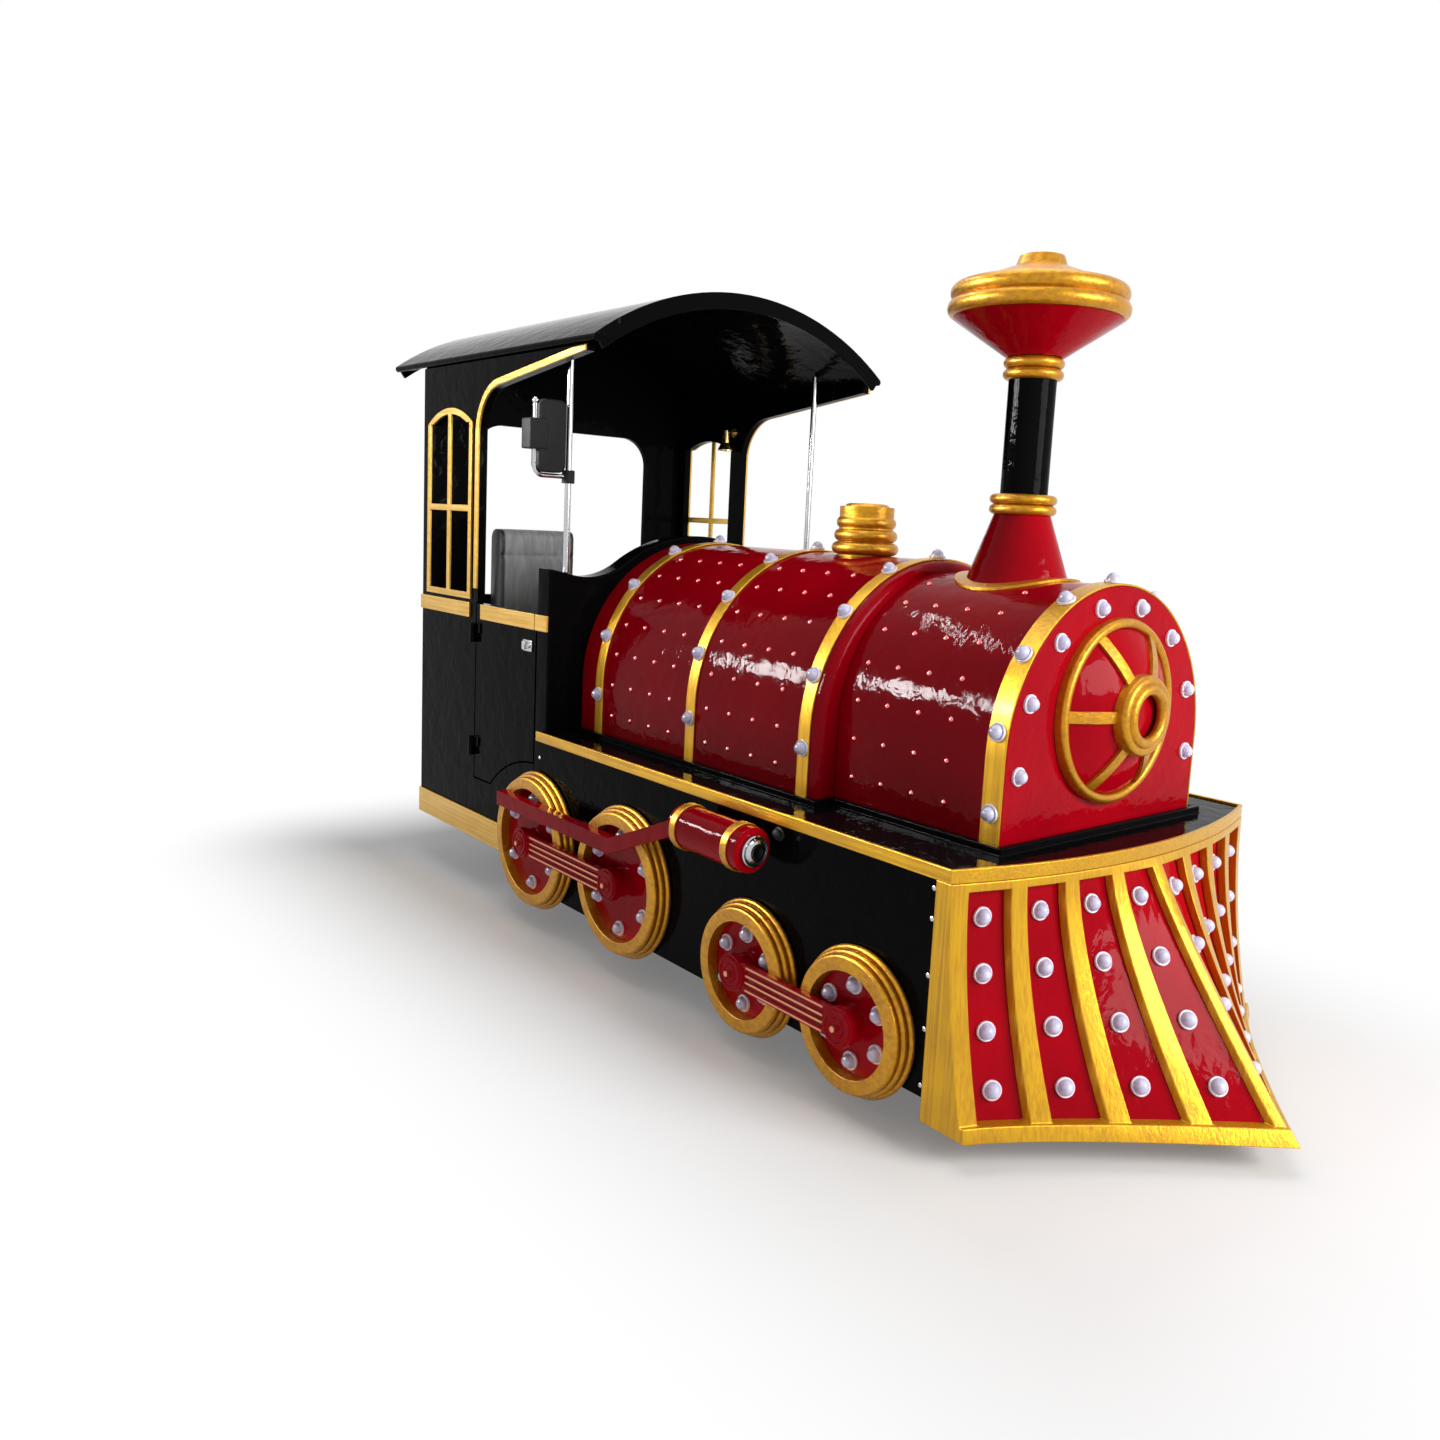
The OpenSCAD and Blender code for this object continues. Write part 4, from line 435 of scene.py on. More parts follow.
def make_materials(paint):
    """Every material of the model by name."""
    grains = {
        "x": (3.0, 130.0, 130.0),
        "y": (130.0, 3.0, 130.0),
        "z": (130.0, 130.0, 3.0),
        "turned": (60.0, 60.0, 90.0),
    }
    made = {
        "red": gelcoat("red_gelcoat", paint.red, paint.red_deep, ripple=0.0030, gloss=0.05),
        "black": gelcoat("black_gelcoat", paint.black, paint.black, ripple=0.0026, gloss=0.020),
        "bulb": frosted_bulb(paint),
        "collar": moulded_collar(paint),
        "chrome": plated("chrome_plate", (0.50, 0.51, 0.53, 1.0), rough=0.10, scratch=0.00008),
        # Painted highlight: the studs are red domes, and this lighter pink metal stands in for the highlights
        # they catch.
        "stud": plated("stud_pink_highlight", (0.72, 0.17, 0.17, 1.0), rough=0.20, scratch=0.0002),
        "steel": plated("bright_steel", paint.steel, rough=0.24, scratch=0.0004),
        "silver": plated("wheel_silver", paint.silver, rough=0.30, scratch=0.0003),
        "brass": plated("bell_brass", (0.76, 0.55, 0.20, 1.0), rough=0.16, scratch=0.0003),
        # Copper for the rods' bolts, and for the rib lines that are painted highlights.
        "copper": plated("copper_bolts_and_highlight_lines", paint.copper, rough=0.28, scratch=0.0003),
        "plastic": grained_plastic("black_plastic", (0.009, 0.009, 0.010, 1.0), rough=0.36, grain=900.0),
        "mat": grained_plastic("floor_mat", paint.rubber, rough=0.6, grain=160.0),
        "frame": road_paint("painted_frame", (0.020, 0.020, 0.022, 1.0), paint.dirt, top=0.45),
        "motor": road_paint("motor_grey", (0.14, 0.15, 0.16, 1.0), paint.dirt, top=0.40),
        "rubber": tyre_rubber(paint),
        "vinyl": seat_vinyl(paint),
        "glass": mirror_glass(),
    }
    for axis, grain in grains.items():
        main, dark = (paint.amber, paint.amber_dark) if axis == "turned" else (paint.gold, paint.gold_dark)
        made["gold_" + axis] = brushed_gold("gold_" + axis, main, dark, grain)
    made["tan"] = brushed_gold("tan_gold", paint.tan, paint.gold, grains["x"])
    return made


MATERIALS = {}

NODE_MATERIALS = {
    "frame": "chassis_frame front_axle rear_axle tow_hitch knuckle_left knuckle_right seat_base",
    "steel": "tie_rod",
    "motor": "drive_motor",
    "plastic": "battery_pack mirror steering_wheel steering_column",
    "rubber": "tyre_front_left tyre_front_right tyre_rear_left tyre_rear_right",
    "silver": "rim_front_left rim_front_right rim_rear_left rim_rear_right",
    "black": "deck skirts chimney_tube bulkhead cab_side_left cab_side_right cab_rear cab_roof "
             "door_left door_right",
    "gold_x": "deck_lip",
    "gold_z": "pilot_frame boiler_bands",
    "gold_turned": "smokebox_door_trim chimney_trim steam_dome dummy_rims cylinder_bands",
    "tan": "cab_trim door_rail_left door_rail_right",
    "red": "pilot_panel smokebox boiler_barrel smokebox_door chimney_shell dummy_discs side_rods "
           "cylinders",
    "bulb": "pilot_lamps boiler_lamps dummy_lamps",
    "chrome": "roof_posts cylinder_lamps",
    "brass": "bell",
    "mat": "cab_floor",
    "vinyl": "seat_cushion seat_back",
}

EDGE_WIDTHS = {
    0.006: "deck cab_roof bulkhead",
    0.004: "skirts smokebox boiler_barrel cab_side_left cab_side_right cab_rear door_left door_right "
           "cylinders",
    0.003: "pilot_frame side_rods dummy_discs smokebox_door seat_base steering_wheel battery_pack",
    0.0022: "deck_lip boiler_bands cab_trim door_rail_left door_rail_right cylinder_bands "
            "smokebox_door_trim",
    0.0012: "dummy_rims chimney_trim chimney_shell chimney_tube steam_dome chassis_frame front_axle "
            "rear_axle",
}

FREE_EDGES = ("pilot_frame",)

# Turned profiles: (radius, height) in metres.
LAMP_COLLAR = ((0.0, 0.0002), (0.0238, 0.0002), (0.0240, 0.0044), (0.0235, 0.0062), (0.0226, 0.0069),
               (0.0206, 0.0069), (0.0194, 0.0058), (0.0188, 0.0044))
VALVE_STEM = ((0.0, 0.022), (0.0025, 0.022), (0.003, 0.012), (0.0045, 0.010), (0.0045, 0.0), (0.0, 0.0))
ROD_BOSS = ((0.0, 0.010), (0.004, 0.010), (0.008, 0.008), (0.010, 0.0035), (0.018, 0.003), (0.020, 0.0055),
            (0.024, 0.0055), (0.026, 0.002), (0.036, 0.002), (0.038, 0.005), (0.043, 0.005), (0.0455, 0.0),
            (0.0, 0.0))
SKIRT_KNOB = ((0.0, 0.020), (0.006, 0.020), (0.012, 0.017), (0.015, 0.011), (0.013, 0.006), (0.019, 0.004),
              (0.020, 0.0), (0.0, 0.0))
DOOR_LOCK = ((0.0, 0.006), (0.0015, 0.006), (0.002, 0.010), (0.0075, 0.010), (0.0085, 0.008), (0.0085, 0.0),
             (0.0, 0.0))
LENS_RIM = ((0.0, 0.004), (0.030, 0.004), (0.036, 0.014), (0.040, 0.015), (0.043, 0.012), (0.043, 0.0),
            (0.0, 0.0))
CLAPPER = ((0.0, 0.050), (0.002, 0.050), (0.002, 0.016), (0.006, 0.012), (0.008, 0.006), (0.006, 0.001),
           (0.0, -0.001))
CLAMP_RING = ((0.0135, -0.022), (0.020, -0.022), (0.022, -0.020), (0.022, 0.020), (0.020, 0.022),
              (0.0135, 0.022), (0.0135, -0.022))

# A screw's profile, as shares of its radius.
SCREW_HEAD = ((0.0, 0.35), (0.25, 0.34), (0.3, 0.12), (0.45, 0.30), (0.8, 0.2), (1.0, 0.0), (0.0, 0.0))

# Each studio light: name, its power's setting and share, size, place, aim, and whether it only makes glints.
SIDE_AIM = (0.3, -0.4, 1.0)
SOFTBOXES = (
    ("front_softbox", "key", 1.0, (2.6, 2.0), (5.2, 0.9, 2.6), (0.6, 0.0, 0.8), False),
    ("top_softbox", "top", 1.0, (5.0, 3.4), (0.2, 0.0, 5.4), (0.0, 0.0, 1.0), False),
    ("side_softbox", "side", 0.7, (0.62, 0.50), (-3.1, -3.22, 2.4), SIDE_AIM, True),
    ("side_softbox", "side", 1.0, (0.62, 0.50), (-2.1, -3.42, 2.4), SIDE_AIM, True),
    ("side_softbox", "side", 0.8, (0.62, 0.50), (-1.2, -3.60, 2.4), SIDE_AIM, True),
    ("strip_softbox", "strip", 1.0, (1.6, 0.06), (-1.3, -1.0, 3.9), (0.9, -0.3, 1.2), True),
)


def material_of(node):
    for name, nodes in NODE_MATERIALS.items():
        if node in nodes.split():
            return name
    raise ValueError("no material is named for " + node)


def body_of(node):
    return frame["nodes"][node]["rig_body"]


def template(bm, name="template"):
    """A mesh to stamp from, or of one piece."""
    mesh = bpy.data.meshes.new(name)
    bm.to_mesh(mesh)
    bm.free()
    return mesh


def piece(name, bm, body, *materials, angle=35.0):
    """Turns a bmesh into a smooth-shaded object that rides a body."""
    mesh = template(bm, name)
    mesh.shade_smooth()
    mesh.set_sharp_from_angle(angle=math.radians(angle))
    for material in materials:
        mesh.materials.append(MATERIALS[material])
    obj = bpy.data.objects.new(name, mesh)
    bpy.context.scene.collection.objects.link(obj)
    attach(obj, body)
    return obj


def node_copy(node):
    """A clean copy of a CAD node: doubles merged and flat faces joined."""
    bm = bmesh.new()
    bm.from_mesh(frame["nodes"][node].data)
    bmesh.ops.remove_doubles(bm, verts=bm.verts, dist=2e-6)
    bmesh.ops.dissolve_limit(bm, angle_limit=math.radians(0.3), verts=bm.verts, edges=bm.edges)
    bmesh.ops.dissolve_degenerate(bm, dist=0.0005, edges=bm.edges)
    return bm


def islands(bm):
    """The faces of each separate solid."""
    left = set(bm.faces)
    while left:
        found = {left.pop()}
        edge = list(found)
        while edge:
            for link in (f for e in edge.pop().edges for f in e.link_faces if f not in found):
                found.add(link)
                edge.append(link)
        left -= found
        yield list(found)


def extent(faces):
    """The low and high corners of some faces."""
    spots = [v.co for f in faces for v in f.verts]
    return (Vector([min(c[k] for c in spots) for k in range(3)]),
            Vector([max(c[k] for c in spots) for k in range(3)]))


def turned(profile, steps):
    """A bmesh turned about Z from a list of (radius, height)."""
    bm = bmesh.new()
    verts = [bm.verts.new((r, 0.0, z)) for r, z in profile]
    edges = [bm.edges.new(pair) for pair in zip(verts, verts[1:])]
    bmesh.ops.spin(bm, geom=verts + edges, cent=(0, 0, 0), axis=(0, 0, 1), angle=2 * math.pi, steps=steps,
                   use_merge=True)
    bmesh.ops.remove_doubles(bm, verts=bm.verts, dist=1e-6)
    bmesh.ops.recalc_face_normals(bm, faces=bm.faces)
    return bm


def stamp(target, source, matrix):
    """Adds a moved copy of one mesh."""
    moved = source.copy()
    moved.transform(matrix)
    target.from_mesh(moved)
    bpy.data.meshes.remove(moved)


def cube(size):
    """A bmesh of one box about the origin."""
    bm = bmesh.new()
    bmesh.ops.create_cube(bm, size=1.0)
    bmesh.ops.scale(bm, vec=size, verts=bm.verts)
    return bm


def ball(radius, columns, rows, flat=1.0):
    """A bmesh of a ball, flattened along Z."""
    bm = bmesh.new()
    bmesh.ops.create_uvsphere(bm, u_segments=columns, v_segments=rows, radius=radius)
    bmesh.ops.scale(bm, vec=(1.0, 1.0, flat), verts=bm.verts)
    return bm


def hexagon(radius, depth):
    """A bmesh of a bolt's head or a nut about the origin."""
    bm = bmesh.new()
    bmesh.ops.create_cone(bm, cap_ends=True, segments=6, radius1=radius, radius2=radius, depth=depth)
    return bm


def round_off(bm, geom, width, segments=2, affect="EDGES", clamp=True):
    """Rounds some edges or corners."""
    bmesh.ops.bevel(bm, geom=geom, offset=width, offset_type="OFFSET", segments=segments, profile=0.5,
                    affect=affect, clamp_overlap=clamp, material=-1)


def verts_of(geom):
    return [g for g in geom if isinstance(g, bmesh.types.BMVert)]


def standing(point, axis):
    """A matrix that stands the Z axis of a shape on a point."""
    return Matrix.Translation(point) @ Vector(axis).to_track_quat("Z", "Y").to_matrix().to_4x4()


def surface_at(node, start, direction):
    """Where a ray first meets a CAD node."""
    bm = bmesh.new()
    bm.from_mesh(frame["nodes"][node].data)
    hit = BVHTree.FromBMesh(bm).ray_cast(Vector(start), Vector(direction))[0]
    bm.free()
    if hit is None:
        raise ValueError("nothing of " + node + " was met")
    return hit


class LocomotiveOperator(bpy.types.Operator):
    bl_options = {"REGISTER", "UNDO"}


class LOCOMOTIVE_OT_paint(LocomotiveOperator):
    """Gives every CAD node its material"""

    bl_idname = "locomotive.paint"
    bl_label = "Paint the Frame"

    def execute(self, context):
        MATERIALS.update(make_materials(context.scene.locomotive_paint))
        for name, node in frame["nodes"].items():
            node.data.materials.clear()
            node.data.materials.append(MATERIALS[material_of(name)])
        return {"FINISHED"}


class LOCOMOTIVE_OT_edges(LocomotiveOperator):
    """Rounds the edges of the moulded and folded pieces"""

    bl_idname = "locomotive.edges"
    bl_label = "Round the Edges"

    def execute(self, context):
        for width, nodes in EDGE_WIDTHS.items():
            for node in nodes.split():
                bm = node_copy(node)
                sharp = [e for e in bm.edges if e.is_manifold and e.calc_face_angle() > math.radians(32)]
                round_off(bm, sharp, width, clamp=node not in FREE_EDGES)
                obj = piece(node + "_finished", bm, body_of(node), material_of(node), angle=40.0)
                even = obj.modifiers.new("Even normals", "WEIGHTED_NORMAL")
                even.keep_sharp = True
                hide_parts(node)
        return {"FINISHED"}


class LOCOMOTIVE_OT_lamps(LocomotiveOperator):
    """Sets frosted bulbs in moulded collars where the CAD lamps stand"""

    bl_idname = "locomotive.lamps"
    bl_label = "Fit the Lamps"

    def execute(self, context):
        steps = context.scene.locomotive_detail.lamp_steps
        radius, rise, foot = 0.0189, 0.0216, 0.0050
        turns = [math.radians(9 * k) for k in range(11)]
        dome = [(radius * math.cos(a), foot + rise * math.sin(a)) for a in turns]
        bm = turned(LAMP_COLLAR, steps)
        stamp(bm, template(turned(dome, steps)), Matrix.Identity(4))
        rim = LAMP_COLLAR[-1][0]
        for face in bm.faces:
            reach = face.calc_center_median()
            face.material_index = 1 if reach.xy.length < rim and reach.z > foot else 0
        lamp = template(bm)
        for node in ("pilot_lamps", "boiler_lamps", "dummy_lamps"):
            places = node_copy(node)
            joined = bmesh.new()
            for faces in islands(places):
                seat = max(faces, key=lambda f: f.calc_area())
                stamp(joined, lamp, standing(seat.calc_center_median(), -seat.normal))
            places.free()
            obj = piece(node + "_finished", joined, "root", "collar", "bulb", angle=50.0)
            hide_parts(node)
        return {"FINISHED"}


class LOCOMOTIVE_OT_studs(LocomotiveOperator):
    """Rows of studs on the boiler's panels"""

    bl_idname = "locomotive.studs"
    bl_label = "Set the Studs"

    def execute(self, context):
        detail = context.scene.locomotive_detail
        flat, keep_off, lap, wrap = 0.75, 0.19, 0.012, 1.3
        stud = template(ball(detail.stud_radius, 14, 10, flat))
        corners = [extent(faces) for faces in islands(node_copy("boiler_bands"))]
        bands = sorted(0.5 * (low.x + high.x) for low, high in corners)
        chimney_low, chimney_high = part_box("chimney_trim")
        chimney = 0.5 * (chimney_low + chimney_high)
        joined = bmesh.new()
        front = [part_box("boiler_barrel")[1].x - lap]
        for node, starts in (("boiler_barrel", bands[:2]), ("smokebox", front)):
            low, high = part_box(node)
            radius = high.y
            axis = high.z - radius
            rows = int((axis - low.z + wrap * radius - detail.row_start) / detail.row_pitch) + 1
            for start in starts:
                for column in range(detail.stud_columns):
                    x = start + detail.stud_start + column * detail.stud_pitch
                    for row in range(rows):
                        run = detail.row_start + row * detail.row_pitch - (axis - low.z)
                        turn = max(0.0, run / radius)
                        out = Vector((0.0, math.cos(turn), math.sin(turn)))
                        at = Vector((x, 0.0, axis + min(0.0, run))) + radius * out
                        if (at - chimney).xy.length < keep_off:
                            continue
                        for side in SIDES:
                            flip = Vector((1.0, side, 1.0))
                            stamp(joined, stud, standing(at * flip, out * flip))
        # The studs take the pink metal of the painted highlight.
        piece("boiler_studs", joined, "root", "stud", angle=60.0)
        return {"FINISHED"}


class LOCOMOTIVE_OT_seat(LocomotiveOperator):
    """Swells the seat's cushion and back between their sewn channels"""

    bl_idname = "locomotive.seat"
    bl_label = "Upholster the Seat"

    def execute(self, context):
        settings = context.scene.locomotive_seat
        for node, front in (("seat_cushion", 2), ("seat_back", 0)):
            low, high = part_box(node)
            middle = 0.5 * (low + high)
            bm = node_copy(node)
            bmesh.ops.translate(bm, vec=-middle, verts=bm.verts)
            bmesh.ops.scale(bm, vec=[1.0 - 2.0 * settings.inset / s for s in high - low], verts=bm.verts)
            bmesh.ops.translate(bm, vec=middle, verts=bm.verts)
            obj = piece(node + "_cover", bm, "root", "vinyl", angle=180.0)
            grain = obj.modifiers.new("Grain", "REMESH")
            grain.mode = "VOXEL"
            grain.voxel_size = settings.voxel
            grain.use_smooth_shade = True
            self.settle(context, obj)
            self.sew(obj, settings, front, low, high)
            self.swell(context, obj, settings)
            finer = obj.modifiers.new("Finer", "SUBSURF")
            finer.levels = 1
            finer.render_levels = 1
            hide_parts(node)
        return {"FINISHED"}

    def settle(self, context, obj):
        """Makes what the modifiers show into the object's own mesh."""
        shown = obj.evaluated_get(context.evaluated_depsgraph_get())
        mesh = bpy.data.meshes.new_from_object(shown)
        obj.modifiers.clear()
        obj.data = mesh

    def sew(self, obj, settings, front, low, high):
        """Presses the channels in and holds them, the rear and the foot."""
        held = obj.vertex_groups.new(name="held")
        seam_width, fade, pressed, rear = 0.011, 3.0, 0.55, 0.8
        along, share = (2, 0.2) if front == 0 else (0, 0.16)
        roll = high[along] - share * (high[along] - low[along])
        pleat = (high.y - low.y) / settings.pleats
        seams = [low.y + pleat * k for k in range(settings.pleats + 1)]
        for vert in obj.data.vertices:
            co = vert.co
            depth = (high[front] - co[front]) / (high[front] - low[front])
            near = min(min(abs(co.y - seam) for seam in seams), abs(co[along] - roll))
            press = math.exp(-(near / seam_width) ** 2) * max(0.0, 1.0 - fade * depth)
            co[front] -= settings.channel * press
            if press > pressed or depth > rear:
                held.add([vert.index], 1.0, "REPLACE")

    def swell(self, context, obj, settings):
        """Blows the cover up by its filling and caps how far it moves."""
        rest = [vert.co.copy() for vert in obj.data.vertices]
        cover = obj.modifiers.new("Cover", "CLOTH")
        cover.settings.vertex_group_mass = "held"
        cover.settings.use_pressure = True
        cover.settings.uniform_pressure_force = settings.pressure
        cover.settings.effector_weights.gravity = 0.0
        cover.settings.quality = 4
        cover.point_cache.frame_start = 1
        cover.point_cache.frame_end = 20
        for moment in range(1, 21):
            context.scene.frame_set(moment)
        self.settle(context, obj)
        context.scene.frame_set(1)
        for vert, start in zip(obj.data.vertices, rest):
            move = vert.co - start
            vert.co = start + move * min(1.0, settings.travel / max(move.length, 1e-6))


class LOCOMOTIVE_OT_tyres(LocomotiveOperator):
    """Tyres with a grooved tread in the CAD tyres' form"""

    bl_idname = "locomotive.tyres"
    bl_label = "Cut the Tread"

    def execute(self, context):
        detail = context.scene.locomotive_detail
        for node in (n for n in frame["nodes"] if n.startswith("tyre_")):
            low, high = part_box(node)
            hub = 0.5 * (low + high)
            radius = 0.5 * (high.z - low.z)
            half = 0.5 * (high.y - low.y)
            bead = min((v.co - hub).xz.length for v in frame["nodes"][node].data.vertices)
            tyre = self.tyre(detail, radius, half, bead)
            obj = piece(node + "_tread", tyre, body_of(node), "rubber", angle=38.0)
            obj.data.transform(Matrix.Translation(hub) @ Matrix.Rotation(math.pi / 2, 4, "X"))
            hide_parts(node)
        return {"FINISHED"}

    def tyre(self, detail, radius, half, bead):
        rounded, groove, middle = 0.030, 0.0035, 0.016
        depth = detail.tread_depth
        side = [(bead, half - 0.006), (bead + 0.006, half - 0.001), (bead + 0.012, half),
                (bead + 0.017, half - 0.0015), (bead + 0.022, half), (radius - rounded - 0.006, half)]
        side += [(radius - rounded + rounded * math.sin(a), half - rounded + rounded * math.cos(a))
                 for a in (math.radians(18 * k) for k in range(6))]
        side += [(radius, middle + groove), (radius - depth, middle + 0.7 * groove),
                 (radius - depth, middle - 0.7 * groove), (radius, middle - groove)]
        profile = side + [(r, -z) for r, z in reversed(side)]
        bm = turned(profile + profile[:1], 2 * detail.tread_blocks)
        cut = []
        for face in bm.faces:
            at = face.calc_center_median()
            step = math.atan2(at.y, at.x) / math.pi * detail.tread_blocks
            shoulder = abs(at.z) > middle + 0.001 and at.xy.length > radius - 0.35 * rounded
            if shoulder and int(math.floor(step + (0.5 if at.z > 0 else 1.5))) % 2 == 0:
                cut.append(face)
        sunk = bmesh.ops.extrude_face_region(bm, geom=cut)
        for vert in verts_of(sunk["geom"]):
            inward = Vector((vert.co.x, vert.co.y, 0.0)).normalized()
            vert.co -= depth * inward
        bmesh.ops.delete(bm, geom=cut, context="FACES")
        bmesh.ops.recalc_face_normals(bm, faces=bm.faces)
        return bm


class LOCOMOTIVE_OT_wheel_nuts(LocomotiveOperator):
    """Nuts and a valve on each road wheel"""

    bl_idname = "locomotive.wheel_nuts"
    bl_label = "Fit the Wheel Nuts"

    def execute(self, context):
        detail = context.scene.locomotive_detail
        radius, depth, edge, sink = 0.010, 0.014, 0.0012, 0.0065
        circle, valve_reach, outside = 0.062, 0.085, 0.4
        bm = hexagon(radius, depth)
        round_off(bm, bm.edges[:], edge)
        nut = template(bm)
        valve = template(turned(VALVE_STEM, 12))
        for node in (n for n in frame["nodes"] if n.startswith("rim_")):
            low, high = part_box(node)
            hub = 0.5 * (low + high)
            out = Vector((0.0, math.copysign(1.0, hub.y), 0.0))
            joined = bmesh.new()
            for k in range(detail.nuts):
                turn = 2 * math.pi * k / detail.nuts
                reach = circle * Vector((math.cos(turn), 0.0, math.sin(turn)))
                seat = surface_at(node, hub + reach + outside * out, -out)
                stamp(joined, nut, standing(seat + sink * out, out))
            seat = surface_at(node, hub + Vector((valve_reach, 0.0, 0.0)) + outside * out, -out)
            stamp(joined, valve, standing(seat, out))
            piece(node + "_nuts", joined, body_of(node), "steel", angle=30.0)
        return {"FINISHED"}


class LOCOMOTIVE_OT_rods(LocomotiveOperator):
    """Copper lines on the side rods' ribs, painted highlights that stand in for the light along the ribs'
    edges, with copper bolts on ringed bosses
    """

    bl_idname = "locomotive.rods"
    bl_label = "Line the Rods"

    def execute(self, context):
        detail = context.scene.locomotive_detail
        bolt_radius, bolt_depth, bolt_lift = 0.0085, 0.008, 0.012
        ribs, line_depth, line_gap, outside = (-0.0315, -0.0095, 0.0095, 0.0315), 0.0012, 0.118, 0.5
        boss = template(turned(ROD_BOSS, 48))
        bolt = template(hexagon(bolt_radius, bolt_depth))
        bosses = bmesh.new()
        bolts = bmesh.new()
        highlight_lines = bmesh.new()
        corners = [extent(faces) for faces in islands(node_copy("dummy_rims"))]
        wheels = [0.5 * (low + high) for low, high in corners]
        for side in SIDES:
            row = sorted((w for w in wheels if w.y * side > 0), key=lambda w: w.x)
            out = Vector((0.0, side, 0.0))
            for wheel in row:
                seat = surface_at("side_rods", wheel + outside * out, -out)
                stamp(bosses, boss, standing(seat, out))
                stamp(bolts, bolt, standing(seat + bolt_lift * out, out))
            # Painted highlights: a copper line on each rib stands in for the light along the rib's edges.
            for first, last in zip(row[::2], row[1::2]):
                for rib in ribs:
                    middle = 0.5 * (first + last) + Vector((0.0, 0.0, rib))
                    seat = surface_at("side_rods", middle + outside * out, -out)
                    strip = template(cube((last.x - first.x - line_gap, line_depth, detail.line_width)))
                    stamp(highlight_lines, strip, Matrix.Translation(seat))
        piece("rod_bosses", bosses, "root", "red", angle=40.0)
        piece("rod_bolts", bolts, "root", "copper", angle=20.0)
        piece("rod_highlight_lines", highlight_lines, "root", "copper", angle=20.0)
        return {"FINISHED"}


class LOCOMOTIVE_OT_screws(LocomotiveOperator):
    """Screws at the skirts' ends, the skirts' knobs and the doors' latches"""

    bl_idname = "locomotive.screws"
    bl_label = "Fit Screws and Latches"

    def execute(self, context):
        radius = context.scene.locomotive_detail.screw_radius
        front_inset, rear_inset, rear_height = 0.018, 0.040, 0.600
        front_heights = (0.150, 0.290, 0.422, 0.560, 0.634)
        knob_x, knob_z = 0.687, 0.633
        screw = template(turned([(r * radius, z * radius) for r, z in SCREW_HEAD], 20))
        knob = template(turned(SKIRT_KNOB, 28))
        skirt_low, skirt_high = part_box("skirts")
        spots = [(skirt_high.x - front_inset, z) for z in front_heights]
        spots += [(skirt_low.x + rear_inset, rear_height)]
        screws = bmesh.new()
        knobs = bmesh.new()
        for side in SIDES:
            out = Vector((0.0, side, 0.0))
            for x, z in spots:
                seat = surface_at("skirts", Vector((x, side, z)), -out)
                stamp(screws, screw, standing(seat, out))
            seat = surface_at("skirts", Vector((knob_x, side, knob_z)), -out)
            stamp(knobs, knob, standing(seat, out))
        piece("skirt_screws", screws, "root", "steel", angle=30.0)
        piece("skirt_knobs", knobs, "root", "plastic", angle=40.0)
        for name, side in (("left", 1), ("right", -1)):
            self.latch(name, side)
        return {"FINISHED"}

    def latch(self, name, side):
        """A chrome paddle latch with its lock on one door."""
        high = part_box("door_" + name)[1]
        inset, drop, edge = 0.050, 0.115, 0.0022
        plate = ((0.062, 0.006, 0.040), (0.0, 0.003))
        paddle = ((0.020, 0.010, 0.030), (-0.016, 0.009))
        lock_x, lock_y = 0.016, 0.003
        out = Vector((0.0, side, 0.0))
        seat = surface_at("door_" + name, Vector((high.x - inset, side, high.z - drop)), -out)
        bm = bmesh.new()
        for size, (x, y) in (plate, paddle):
            stamp(bm, template(cube(size)), Matrix.Translation(seat + Vector((x, y * side, 0.0))))
        round_off(bm, bm.edges[:], edge)
        lock = template(turned(DOOR_LOCK, 24))
        stamp(bm, lock, standing(seat + Vector((lock_x, lock_y * side, 0.0)), out))
        piece("door_latch_" + name, bm, "door_" + name, "chrome", angle=30.0)


class LOCOMOTIVE_OT_lenses(LocomotiveOperator):
    """Faceted chrome lamps on the cylinders and the bell's clapper"""

    bl_idname = "locomotive.lenses"
    bl_label = "Fit the Lenses"

    def execute(self, context):
        lamps = bmesh.new()
        radius, flat, facet, lift = 0.034, 0.62, 0.017, 0.008
        rim = template(turned(LENS_RIM, 48))
        bm = ball(radius, 18, 12, flat)
        for vert in bm.verts:
            if vert.co.z > facet:
                vert.co.z = facet - 0.5 * (vert.co.z - facet)
        cut = template(bm)
        forward = Vector((1.0, 0.0, 0.0))
        for faces in islands(node_copy("cylinder_lamps")):
            low, high = extent(faces)
            middle = Vector((low.x, 0.5 * (low.y + high.y), 0.5 * (low.z + high.z)))
            stamp(lamps, rim, standing(middle, forward))
            stamp(lamps, cut, standing(middle + lift * forward, forward))
        obj = piece("cylinder_lamps_finished", lamps, "root", "chrome", angle=12.0)
        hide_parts("cylinder_lamps")
        self.clapper()
        return {"FINISHED"}

    def clapper(self):
        """A clapper at the bell's mouth."""
        low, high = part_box("bell")
        mouth = Vector((0.5 * (low.x + high.x), low.y + 0.5 * (high.x - low.x), low.z))
        lift = Vector((0.0, 0.0, 0.006))
        shape = turned(CLAPPER, 16)
        bmesh.ops.translate(shape, vec=mouth + lift, verts=shape.verts)
        piece("bell_clapper", shape, "root", "steel", angle=40.0)


